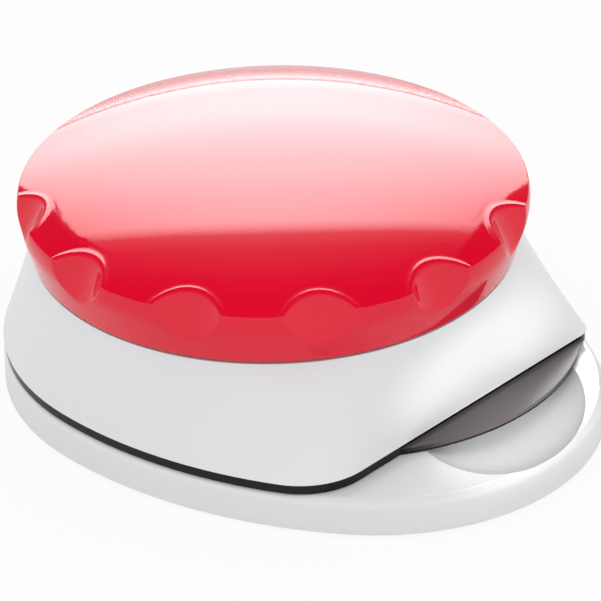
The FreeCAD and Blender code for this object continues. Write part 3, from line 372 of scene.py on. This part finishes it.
def grained(name, pale, deep, smooth, rough, grain, depth, **constants):
    """A dull surface with a fine even grain, such as powder coat or rubber."""
    material, tree, shader = new_material(name, **constants)
    skin = place_group(tree, moulded_skin(), Flow_scale=60.0, Skin_scale=1.0 / grain)
    wire(tree, mix_colours(tree, skin.outputs["Flow"], pale, deep), shader.inputs["Base Color"])
    wire(tree, spread(tree, skin.outputs["Skin"], smooth, rough), shader.inputs["Roughness"])
    bump(tree, shader, skin.outputs["Skin"], depth)
    return material


def dress(material, *nodes):
    """Give CAD nodes a material in every slot."""
    for name in nodes:
        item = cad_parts[name]
        if not item.material_slots:
            item.data.materials.append(material)
        for slot in item.material_slots:
            slot.material = material


# Mesh helpers
def finish_mesh(name, mesh, body, material, nodes):
    """Turn a bmesh into a smooth piece that rides on a body and stands for CAD nodes."""
    bmesh.ops.remove_doubles(mesh, verts=mesh.verts, dist=MERGE)
    bmesh.ops.recalc_face_normals(mesh, faces=mesh.faces)
    for face in mesh.faces:
        face.smooth = True
    data = bpy.data.meshes.new(name)
    mesh.to_mesh(data)
    mesh.free()
    data.materials.append(material)
    piece = bpy.data.objects.new(name, data)
    bpy.context.scene.collection.objects.link(piece)
    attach(piece, body)
    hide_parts(*nodes)
    return piece


def profile_line(mesh, corners):
    """A chain of edges through (radius, height) corners in the XZ plane."""
    spots = [mesh.verts.new((radius, 0.0, height)) for radius, height in corners]
    for start, end in zip(spots, spots[1:]):
        mesh.edges.new((start, end))
    return spots


def round_corner(mesh, spot, set_back, segments):
    bmesh.ops.bevel(mesh, geom=[spot], offset=set_back, offset_type="OFFSET", affect="VERTICES",
                    segments=segments, profile=0.5, material=-1)


def divide(mesh, edges, longest):
    """Cut edges into pieces no longer than a length."""
    for edge in edges:
        cuts = math.ceil(edge.calc_length() / longest) - 1
        if cuts > 0:
            bmesh.ops.subdivide_edges(mesh, edges=[edge], cuts=cuts)


def arc_line(mesh, spot, centre_z, sweep, steps):
    """Spin one point in the XZ plane about a centre on the axis; returns the last point."""
    made = bmesh.ops.spin(mesh, geom=[spot], cent=(0.0, 0.0, centre_z), axis=(0.0, 1.0, 0.0),
                          angle=sweep, steps=steps, dvec=(0.0, 0.0, 0.0), use_merge=False)
    return [item for item in made["geom_last"] if isinstance(item, bmesh.types.BMVert)][0]


class BADGE_OT_knob(bpy.types.Operator):
    """Model the domed knob with its finger dents"""

    bl_idname = "badge.knob"
    bl_label = "Knob"

    # Steps round the knob and along the dome's middle, rim and hollow, and segments of a rounded corner.
    ROUND_STEPS = 480
    MIDDLE_STEPS = 32
    RIM_STEPS = 24
    HOLLOW_STEPS = 24
    CORNER_SEGMENTS = 8
    # Share of the radius where the rim's steps take over from the middle's.
    MIDDLE_SHARE = 0.78
    # Longest edge of the rim's profile.
    RIM_EDGE = 0.9 * MILLIMETRE
    # Half widths of the bands along the dents' edges in which the mesh is finer.
    FINE_BANDS = (2.2 * MILLIMETRE, 1.0 * MILLIMETRE)
    # Lip widths from a dent past which nothing moves.
    LIP_REACH = 8

    def execute(self, context):
        sizes = settings().knob
        colours = settings().colours
        red = moulded_plastic("Red plastic", colours.knob, colours.knob_deep, smooth=0.025, rough=0.065,
                              skin_depth=0.004 * MILLIMETRE, scuff=0.25, IOR=1.47)
        mesh = bmesh.new()
        self.draw_profile(mesh, sizes)
        bmesh.ops.spin(mesh, geom=mesh.verts[:] + mesh.edges[:], cent=(0, 0, 0), axis=(0, 0, 1),
                       angle=FULL_TURN, steps=self.ROUND_STEPS, dvec=(0, 0, 0), use_merge=True)
        bmesh.ops.recalc_face_normals(mesh, faces=mesh.faces)
        rods = self.place_rods(sizes)
        for band in self.FINE_BANDS:
            self.refine_rims(mesh, sizes, rods, band)
        mesh.normal_update()
        self.press_dents(mesh, sizes, rods)
        bmesh.ops.translate(mesh, verts=mesh.verts, vec=KNOB_AXIS)
        finish_mesh("knob_shell", mesh, "knob", red, ["knob_dome"])
        return {"FINISHED"}

    def draw_profile(self, mesh, sizes):
        radius = sizes.radius
        low = KNOB_LOW.z
        widest = low + sizes.skirt
        shoulder = widest + sizes.band
        edge = radius - sizes.undercut
        bore = edge - sizes.wall
        ball = (radius ** 2 + sizes.dome_rise ** 2) / (2 * sizes.dome_rise)
        centre = KNOB_HIGH.z - ball
        inner = ball - sizes.dome_wall
        inner_rim = centre + math.sqrt(inner ** 2 - bore ** 2)
        flank = profile_line(mesh, [(bore, inner_rim), (bore, low), (edge, low), (radius, widest),
                                    (radius, shoulder)])
        rim_turn = math.asin(radius / ball)
        middle_turn = math.asin(self.MIDDLE_SHARE * radius / ball)
        outer_mid = arc_line(mesh, flank[-1], centre, middle_turn - rim_turn, self.RIM_STEPS)
        arc_line(mesh, outer_mid, centre, -middle_turn, self.MIDDLE_STEPS)
        arc_line(mesh, flank[0], centre, -math.asin(bore / inner), self.HOLLOW_STEPS)
        bmesh.ops.remove_doubles(mesh, verts=mesh.verts, dist=MERGE)
        corners = [((edge, low), sizes.lip_round), ((radius, widest), sizes.skirt_round),
                   ((radius, shoulder), sizes.shoulder_round)]
        for (x, z), set_back in corners:
            spot = min(mesh.verts, key=lambda v: (v.co - Vector((x, 0, z))).length)
            round_corner(mesh, spot, set_back, self.CORNER_SEGMENTS)
        inside = self.dented_from(sizes)
        rim = [side for side in mesh.edges if all(spot.co.x > inside for spot in side.verts)]
        divide(mesh, rim, self.RIM_EDGE)

    def dented_from(self, sizes):
        """The radius outside which a dent can reach."""
        return sizes.radius - 2 * sizes.dent_depth

    def place_rods(self, sizes):
        """A middle and an axis for the leaning rod that makes each dent."""
        lean = sizes.dent_tilt
        reach = sizes.radius - sizes.dent_depth + sizes.dent_radius * math.cos(lean)
        level = KNOB_LOW.z + sizes.skirt + sizes.dent_rise + sizes.dent_radius * math.sin(lean)
        rods = []
        for index in range(sizes.dents):
            turn = sizes.dent_start + sizes.dent_pitch * index
            out = Vector((math.cos(turn), math.sin(turn), 0))
            middle = out * reach + Vector((0, 0, level))
            axis = Vector((0, 0, math.cos(lean))) - out * math.sin(lean)
            rods.append((middle, axis))
        return rods

    def from_rod(self, spot, rod):
        """The way from a rod's axis straight to a point."""
        middle, axis = rod
        away = spot - middle
        return away - axis * away.dot(axis)

    def refine_rims(self, mesh, sizes, rods, band):
        """Halve the mesh in a band along the edge of each dent."""
        inside = self.dented_from(sizes)
        near = []
        for edge in mesh.edges:
            middle = (edge.verts[0].co + edge.verts[1].co) / 2
            if middle.xy.length < inside:
                continue
            if any(abs(self.from_rod(middle, rod).length - sizes.dent_radius) < band for rod in rods):
                near.append(edge)
        bmesh.ops.subdivide_edges(mesh, edges=near, cuts=1, use_grid_fill=True)

    def press_dents(self, mesh, sizes, rods):
        """Push what lies inside each rod out to the rod's skin, and raise a lip along the upper edge."""
        inside = self.dented_from(sizes)
        for spot in mesh.verts:
            if spot.co.xy.length < inside:
                continue
            for rod in rods:
                away = self.from_rod(spot.co, rod)
                over = away.length - sizes.dent_radius
                if over < self.LIP_REACH * sizes.dent_lip_width:
                    soft = (over + math.sqrt(over ** 2 + 4 * sizes.dent_soft ** 2)) / 2
                    crest = math.exp(-(over / sizes.dent_lip_width - 1) ** 2)
                    lip = sizes.dent_lip * crest * max(spot.normal.z, 0) ** 2
                    spot.co += away.normalized() * (soft - over) + spot.normal * lip


class BADGE_OT_body(bpy.types.Operator):
    """Finish the white base and casing"""

    bl_idname = "badge.body"
    bl_label = "Base and casing"

    def execute(self, context):
        colours = settings().colours
        white = moulded_plastic("White plastic", colours.body, colours.body_deep, smooth=0.10, rough=0.20,
                                skin_depth=0.006 * MILLIMETRE, scuff=0.4, IOR=1.50)
        dress(white, "base_shell", "top_casing")
        return {"FINISHED"}


class BADGE_OT_tab_plate(bpy.types.Operator):
    """Finish the dark parting plate with its finger tab, and paint the shade of the gap along its upright
    edge
    """

    bl_idname = "badge.tab_plate"
    bl_label = "Tab plate"

    # Thickness of the plate below the casing, and height of the lip along the tab's lower edge that is
    # painted dark as shade.
    PLATE = 2.3 * MILLIMETRE
    LIP = 0.4 * MILLIMETRE
    # How far in front of the casing the tab's edge keeps its grey above that painted-shade lip.
    UNSHADED_FROM = 5.0 * MILLIMETRE

    def execute(self, context):
        colours = settings().colours
        dark = moulded_plastic("Dark plastic with painted gap shade", colours.tab, colours.tab_pale, smooth=0.16, rough=0.30,
                               skin_depth=0.008 * MILLIMETRE, scuff=0.6, IOR=1.36)
        # Painted shade: near black goes into the colour of the plate's upright edge and of the tab's low
        # lip.
        self.paint_gap_shade(dark.node_tree, colours.tab_gap_shade)
        dress(dark, "under_plate")
        return {"FINISHED"}

    def paint_gap_shade(self, tree, edge):
        """Painted shade: the plate's upright edge is painted near black for the shadow in the gap under the
        casing, except on the tab, where only a low lip is painted dark.
        """
        shader = [n for n in tree.nodes if n.type == "BSDF_PRINCIPLED"][0]
        grey = shader.inputs["Base Color"].links[0].from_socket
        facing = add(tree, "ShaderNodeSeparateXYZ")
        wire(tree, add(tree, "ShaderNodeNewGeometry").outputs["Normal"], facing.inputs[0])
        level = add(tree, "ShaderNodeMapRange", {"From Min": 0.2, "From Max": 0.7})
        wire(tree, math_node(tree, "ABSOLUTE", facing.outputs["Z"]), level.inputs["Value"])
        place = add(tree, "ShaderNodeSeparateXYZ")
        wire(tree, add(tree, "ShaderNodeTexCoord").outputs["Object"], place.inputs[0])
        lip = CASING_LOW.z - self.PLATE + self.LIP
        above = add(tree, "ShaderNodeMapRange", {"From Min": lip, "From Max": lip + self.LIP / 2})
        wire(tree, place.outputs["Z"], above.inputs["Value"])
        front = CASING_LOW.y
        outside = add(tree, "ShaderNodeMapRange", {"From Min": front, "From Max": front - self.UNSHADED_FROM})
        wire(tree, place.outputs["Y"], outside.inputs["Value"])
        tab = math_node(tree, "MULTIPLY", above.outputs["Result"], outside.outputs["Result"])
        # 1 where the grey shows: flat faces, and the tab above its lip; 0 where the near-black painted shade
        #                         replaces the grey.
        pale = math_node(tree, "MAXIMUM", level.outputs["Result"], tab)
        wire(tree, mix_colours(tree, pale, edge, grey), shader.inputs["Base Color"])


class BADGE_OT_underside(bpy.types.Operator):
    """Finish the bottom cover and its feet"""

    bl_idname = "badge.underside"
    bl_label = "Cover and feet"

    def execute(self, context):
        colours = settings().colours
        coat = grained("Powder coat", colours.cover, shade(colours.cover, 0.8), smooth=0.42, rough=0.60,
                       grain=0.7 * MILLIMETRE, depth=0.03 * MILLIMETRE)
        dress(coat, "bottom_cover")
        rubber = grained("Foot rubber", colours.rubber, shade(colours.rubber, 0.7), smooth=0.65, rough=0.85,
                         grain=0.5 * MILLIMETRE, depth=0.03 * MILLIMETRE)
        dress(rubber, "rubber_feet")
        return {"FINISHED"}


class BADGE_OT_dies(bpy.types.Operator):
    """Finish the cup, the crimping ring, the platform, the ram and the plunger"""

    bl_idname = "badge.dies"
    bl_label = "Dies"

    def execute(self, context):
        colours = settings().colours
        steel = turned_metal("Die steel", colours.steel, smooth=0.16, rough=0.34,
                             ring_depth=0.006 * MILLIMETRE)
        dress(steel, "die_cup", "crimp_ring")
        bright = turned_metal("Turned aluminium", colours.aluminium, smooth=0.24, rough=0.40,
                              ring_depth=0.008 * MILLIMETRE)
        dress(bright, "die_platform", "ram_body")
        firm = grained("Pad plastic", colours.pad, shade(colours.pad, 0.8), smooth=0.45, rough=0.65,
                       grain=0.6 * MILLIMETRE, depth=0.02 * MILLIMETRE)
        dress(firm, "plunger_pad")
        return {"FINISHED"}


class BADGE_OT_drive(bpy.types.Operator):
    """Finish the drive sleeve, pins, retainers and inner mouldings"""

    bl_idname = "badge.drive"
    bl_label = "Drive"

    def execute(self, context):
        colours = settings().colours
        oiled = turned_metal("Oiled steel", colours.drive, smooth=0.20, rough=0.42,
                             ring_depth=0.008 * MILLIMETRE, Coat_Weight=0.2)
        dress(oiled, "drive_sleeve", "cross_pin", "hinge_pin", "retaining_washer", "retaining_ring",
              "plunger_bolt")
        inner = grained("Inner plastic", colours.inner, shade(colours.inner, 0.9), smooth=0.40, rough=0.58,
                        grain=0.9 * MILLIMETRE, depth=0.02 * MILLIMETRE)
        dress(inner, "guide_sleeve", "slip_ring", "knob_hub")
        return {"FINISHED"}


class BADGE_OT_screws(bpy.types.Operator):
    """Finish every group of screws"""

    bl_idname = "badge.screws"
    bl_label = "Screws"

    def execute(self, context):
        zinc = settings().colours.zinc
        plated = grained("Plated steel", zinc, shade(zinc, DULL), smooth=0.22, rough=0.40,
                         grain=0.8 * MILLIMETRE, depth=0.01 * MILLIMETRE, Metallic=1.0)
        dress(plated, "base_screws", "cup_screws", "plate_screws", "hub_screws", "sleeve_screws",
              "crimp_screws")
        return {"FINISHED"}


class BADGE_OT_springs(bpy.types.Operator):
    """Wind the platform springs and the plunger spring"""

    bl_idname = "badge.springs"
    bl_label = "Springs"

    # Sides of the wire, and steps in one turn of a coil.
    WIRE_SIDES = 10
    TURN_STEPS = 32

    def execute(self, context):
        sizes = settings().springs
        tint = settings().colours.wire
        drawn = grained("Spring wire", tint, shade(tint, 0.8), smooth=0.24, rough=0.40,
                        grain=0.6 * MILLIMETRE, depth=0.01 * MILLIMETRE, Metallic=1.0)
        low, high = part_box("platform_springs")
        mesh = bmesh.new()
        for index in range(sizes.platform_count):
            turn = math.pi / 2 + FULL_TURN * index / sizes.platform_count
            spot = KNOB_AXIS + sizes.platform_ring * Vector((math.cos(turn), math.sin(turn), 0))
            self.wind(mesh, spot, sizes.platform_radius, sizes.platform_wire, sizes.platform_turns,
                      low.z, high.z)
        piece = finish_mesh("platform_spring_coils", mesh, "base", drawn,
                            ["platform_springs"])
        self.flatten(piece, "platform_slide", low.z, high.z - low.z)
        low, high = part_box("plunger_spring")
        mesh = bmesh.new()
        self.wind(mesh, KNOB_AXIS, sizes.plunger_radius, sizes.plunger_wire, sizes.plunger_turns,
                  low.z, high.z)
        piece = finish_mesh("plunger_spring_coil", mesh, "ram", drawn, ["plunger_spring"])
        self.flatten(piece, "plunger_slide", high.z, high.z - low.z)
        return {"FINISHED"}

    def wind(self, mesh, centre, radius, thickness, turns, low, high):
        """One coil: a small disc spun up a helix, closed at both ends."""
        ring = bmesh.ops.create_circle(mesh, cap_ends=True, segments=self.WIRE_SIDES, radius=thickness / 2)
        spots = ring["verts"]
        start = Vector((centre.x + radius, centre.y, low + thickness / 2))
        upright = Matrix.Rotation(math.pi / 2, 4, "X")
        bmesh.ops.transform(mesh, matrix=Matrix.Translation(start) @ upright, verts=spots)
        steps = int(turns * self.TURN_STEPS)
        rise = (high - low - thickness) / steps
        faces = list({face for spot in spots for face in spot.link_faces})
        bmesh.ops.spin(mesh, geom=faces, cent=centre, axis=(0, 0, 1), angle=FULL_TURN * turns, steps=steps,
                       dvec=(0, 0, rise), use_merge=False)

    def flatten(self, piece, joint, anchor_height, tall):
        """Give a coil its own copy of its mesh."""
        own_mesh(piece)


class BADGE_OT_stage(bpy.types.Operator):
    """Set the floor, the lights and the camera"""

    bl_idname = "badge.stage"
    bl_label = "Stage"

    WHITE = (1.0, 1.0, 1.0, 1.0)
    FLOOR_GREY = (0.86, 0.86, 0.86, 1.0)
    # Share of the floor's plain white that a mirror shows.
    FLOOR_MIRRORED = 0.2
    # The middle of the dome: metres sideways, away from the camera and up, from the knob's foot.
    DOME_MIDDLE = Vector((0.0, -0.03, 0.057))
    # The leaning softbox's corners, in the same directions from there, and the height of its ramp of light.
    SOFTBOX = ((-0.57, 1.591, -0.056), (0.595, 1.591, -0.056), (0.595, 0.342, 1.39), (-0.57, 0.342, 1.39))
    SOFTBOX_TALL = 1.4
    # How fast its top curves down and its light fades with the square of the distance from its middle.
    SOFTBOX_ARCH = 0.57
    SOFTBOX_FADE = 1.5
    # Height on the softbox with the arch added, and share of its brightness there.
    SOFTBOX_GLOW = ((0.0, 0.46), (0.14, 0.50), (0.40, 0.80), (0.75, 1.0), (0.99, 0.94), (1.03, 0.55),
                    (1.055, 0.16), (1.13, 0.06), (1.27, 0.015), (1.38, 0.0))
    # What a mirror shows of the studio: white low down and in front, dark overhead and beside the softbox.
    CEILING = ((0.0, 1.0), (0.20, 1.0), (0.45, 0.30), (0.75, 0.06), (0.95, 0.01))
    # How far the ramp's upward direction leans away from the camera.
    CEILING_LEAN = 0.4
    # Each lamp: metres to the right, away from the camera and up from its aim, cone, width and radius.
    SCOOP_LAMP = ((0.25, -0.80, 0.52), math.radians(1.2), 2.6, 3 * MILLIMETRE)
    CASING_LAMP = ((0.66, -0.55, 0.08), math.radians(2.0), 2.4, 3 * MILLIMETRE)
    FLOOR_LAMP = ((0.0, 0.0, 0.7), math.radians(88.0), 1.0, 100 * MILLIMETRE)
    # The first two aims, on the object's axes from the casing's lower front edge.
    SCOOP_AIM = Vector((6.0, -7.0, -7.0)) * MILLIMETRE
    CASING_AIM = Vector((9.0, 0.0, 9.0)) * MILLIMETRE
    # The third aim: metres sideways, away from the camera and up, from the knob's foot.
    FLOOR_AIM = Vector((0.0, 0.84, 0.0))

    def execute(self, context):
        stage = settings().stage
        context.scene.view_settings.view_transform = "Standard"
        self.make_floor(context, stage)
        self.make_world(context, stage)
        self.make_camera(context, stage)
        self.make_softbox(context, stage)
        self.make_lamps(context, stage)
        return {"FINISHED"}

    def seen(self, tree, mirrored=1.0):
        """1 for rays that look straight at the studio, and a share of that for mirrored ones."""
        path = add(tree, "ShaderNodeLightPath")
        glossy = math_node(tree, "MULTIPLY", path.outputs["Is Glossy Ray"], mirrored)
        either = math_node(tree, "MAXIMUM", path.outputs["Is Camera Ray"], glossy)
        return math_node(tree, "MAXIMUM", either, path.outputs["Is Transmission Ray"])

    def ramp(self, tree, value, stops):
        """A grey ramp through (position, level) stops."""
        item = add(tree, "ShaderNodeValToRGB")
        elements = item.color_ramp.elements
        while len(elements) < len(stops):
            elements.new(0.5)
        for element, (position, level) in zip(elements, stops):
            element.position = position
            element.color = (level, level, level, 1)
        wire(tree, value, item.inputs["Fac"])
        return item.outputs["Color"]

    def make_floor(self, context, stage):
        mesh = bmesh.new()
        bmesh.ops.create_grid(mesh, x_segments=1, y_segments=1, size=stage.floor_half)
        data = bpy.data.meshes.new("floor")
        mesh.to_mesh(data)
        mesh.free()
        material = bpy.data.materials.new("Pale floor")
        material.use_nodes = True
        tree = material.node_tree
        tree.nodes.clear()
        matt = add(tree, "ShaderNodeBsdfDiffuse", {"Color": self.FLOOR_GREY})
        white = add(tree, "ShaderNodeEmission", {"Color": self.WHITE, "Strength": 1.0})
        share = math_node(tree, "MULTIPLY", self.seen(tree, self.FLOOR_MIRRORED), stage.floor_white)
        both = add(tree, "ShaderNodeMixShader")
        wire(tree, share, both.inputs["Fac"])
        wire(tree, matt.outputs[0], both.inputs[1])
        wire(tree, white.outputs[0], both.inputs[2])
        end = add(tree, "ShaderNodeOutputMaterial")
        wire(tree, both.outputs[0], end.inputs["Surface"])
        data.materials.append(material)
        floor = bpy.data.objects.new("floor", data)
        context.scene.collection.objects.link(floor)

    def make_world(self, context, stage):
        world = bpy.data.worlds.new("Studio")
        world.use_nodes = True
        tree = world.node_tree
        tree.nodes.clear()
        even = add(tree, "ShaderNodeBackground", {"Color": self.WHITE, "Strength": stage.ambient})
        shown = add(tree, "ShaderNodeBackground", {"Strength": 1.0})
        upward = self.studio_turn(stage) @ Vector((0, self.CEILING_LEAN, 1))
        height = add(tree, "ShaderNodeVectorMath", operation="DOT_PRODUCT")
        wire(tree, add(tree, "ShaderNodeTexCoord").outputs["Generated"], height.inputs[0])
        height.inputs[1].default_value = upward
        wire(tree, self.ramp(tree, height.outputs["Value"], self.CEILING), shown.inputs["Color"])
        both = add(tree, "ShaderNodeMixShader")
        wire(tree, self.seen(tree), both.inputs["Fac"])
        wire(tree, even.outputs[0], both.inputs[1])
        wire(tree, shown.outputs[0], both.inputs[2])
        end = add(tree, "ShaderNodeOutputWorld")
        wire(tree, both.outputs[0], end.inputs["Surface"])
        context.scene.world = world

    def directions(self, stage):
        """Level to the camera's right, and level away from it."""
        turn = stage.azimuth
        right = Vector((math.cos(turn), math.sin(turn), 0))
        away = Vector((-math.sin(turn), math.cos(turn), 0))
        return right, away

    def studio_turn(self, stage):
        """The turn from sideways, away and up to the object's own axes."""
        return Matrix((*self.directions(stage), (0, 0, 1))).transposed()

    def make_camera(self, context, stage):
        right, away = self.directions(stage)
        towards = -away * math.cos(stage.elevation) + Vector((0, 0, math.sin(stage.elevation)))
        up = towards.cross(right)
        across = right * math.cos(stage.roll) - up * math.sin(stage.roll)
        upward = up * math.cos(stage.roll) + right * math.sin(stage.roll)
        target = KNOB_AXIS + Vector((0, 0, stage.target_height))
        place = target + towards * stage.distance
        data = bpy.data.cameras.new("camera")
        data.sensor_width = 36.0
        data.lens = stage.focal_pixels / PHOTO_PIXELS * data.sensor_width
        data.shift_x = stage.shift_x / PHOTO_PIXELS
        data.shift_y = stage.shift_y / PHOTO_PIXELS
        data.clip_end = 50.0
        camera = bpy.data.objects.new("camera", data)
        camera.matrix_world = Matrix((
            (across.x, upward.x, towards.x, place.x),
            (across.y, upward.y, towards.y, place.y),
            (across.z, upward.z, towards.z, place.z),
            (0, 0, 0, 1)))
        context.scene.collection.objects.link(camera)
        context.scene.camera = camera

    def make_softbox(self, context, stage):
        """A leaning white panel behind the object, which the dome mirrors."""
        mesh = bmesh.new()
        mesh.faces.new([mesh.verts.new(spot) for spot in self.SOFTBOX])
        data = bpy.data.meshes.new("softbox")
        mesh.to_mesh(data)
        mesh.free()
        material = bpy.data.materials.new("Softbox light")
        material.use_nodes = True
        tree = material.node_tree
        tree.nodes.clear()
        place = add(tree, "ShaderNodeSeparateXYZ")
        wire(tree, add(tree, "ShaderNodeTexCoord").outputs["Object"], place.inputs[0])
        sideways = math_node(tree, "POWER", place.outputs["X"], 2.0)
        arch = math_node(tree, "MULTIPLY", sideways, self.SOFTBOX_ARCH)
        arched = math_node(tree, "ADD", place.outputs["Z"], arch)
        height = math_node(tree, "DIVIDE", arched, self.SOFTBOX_TALL)
        stops = [(level / self.SOFTBOX_TALL, share) for level, share in self.SOFTBOX_GLOW]
        fade = math_node(tree, "MULTIPLY", sideways, self.SOFTBOX_FADE)
        glow = add(tree, "ShaderNodeEmission")
        level = math_node(tree, "MULTIPLY", math_node(tree, "SUBTRACT", 1.0, fade), stage.softbox)
        wire(tree, level, glow.inputs["Strength"])
        wire(tree, self.ramp(tree, height, stops), glow.inputs["Color"])
        end = add(tree, "ShaderNodeOutputMaterial")
        wire(tree, glow.outputs[0], end.inputs["Surface"])
        data.materials.append(material)
        panel = bpy.data.objects.new("softbox", data)
        turn = self.studio_turn(stage).to_4x4()
        panel.matrix_world = Matrix.Translation(KNOB_AXIS) @ turn @ Matrix.Translation(self.DOME_MIDDLE)
        panel.visible_camera = False
        panel.visible_diffuse = False
        context.scene.collection.objects.link(panel)

    def make_lamps(self, context, stage):
        """Lamps on the scoop, on the casing's front, and on the floor behind, which the rim mirrors."""
        turn = self.studio_turn(stage)
        scoop = FRONT_EDGE + self.SCOOP_AIM
        self.make_spot(context, "scoop_lamp", scoop, turn, stage.scoop_watts, self.SCOOP_LAMP)
        front = FRONT_EDGE + self.CASING_AIM
        self.make_spot(context, "casing_lamp", front, turn, stage.casing_watts, self.CASING_LAMP)
        behind = KNOB_AXIS + turn @ self.FLOOR_AIM
        self.make_spot(context, "floor_lamp", behind, turn, stage.floor_watts, self.FLOOR_LAMP)

    def make_spot(self, context, name, aim, studio_turn, watts, lamp_sizes):
        """A soft lamp, wider along X, that neither the camera nor a mirror sees."""
        place, cone, wide, radius = lamp_sizes
        data = bpy.data.lights.new(name, "SPOT")
        data.energy = watts
        data.spot_size = cone
        data.spot_blend = 1.0
        data.shadow_soft_size = radius
        lamp = bpy.data.objects.new(name, data)
        offset = studio_turn @ Vector(place)
        back = offset.normalized()
        side = (Vector((1, 0, 0)) - back * back.x).normalized()
        turn = Matrix((side * wide, back.cross(side), back)).transposed().to_4x4()
        lamp.matrix_world = Matrix.Translation(aim + offset) @ turn
        lamp.visible_camera = False
        lamp.visible_glossy = False
        context.scene.collection.objects.link(lamp)


PIECES = (BADGE_OT_knob, BADGE_OT_body, BADGE_OT_tab_plate, BADGE_OT_underside, BADGE_OT_dies,
          BADGE_OT_drive, BADGE_OT_screws, BADGE_OT_springs, BADGE_OT_stage)


class BADGE_PT_panel(bpy.types.Panel):
    """Lists the pieces of the badge maker"""

    bl_idname = "BADGE_PT_panel"
    bl_label = "Badge Maker"
    bl_space_type = "VIEW_3D"
    bl_region_type = "UI"
    bl_category = "Badge Maker"

    def draw(self, context):
        for piece in PIECES:
            self.layout.operator(piece.bl_idname)


CLASSES = (KnobSizes, SpringSizes, FinishColours, StageSizes, BadgeMaker, *PIECES, BADGE_PT_panel)


def register():
    for item in CLASSES:
        bpy.utils.register_class(item)
    bpy.types.Scene.badge_maker = PointerProperty(type=BadgeMaker)


def unregister():
    del bpy.types.Scene.badge_maker
    for item in reversed(CLASSES):
        bpy.utils.unregister_class(item)


def main():
    register()
    bpy.ops.badge.knob()
    bpy.ops.badge.body()
    bpy.ops.badge.tab_plate()
    bpy.ops.badge.underside()
    bpy.ops.badge.dies()
    bpy.ops.badge.drive()
    bpy.ops.badge.screws()
    bpy.ops.badge.springs()
    bpy.ops.badge.stage()


if __name__ == "__main__":
    main()
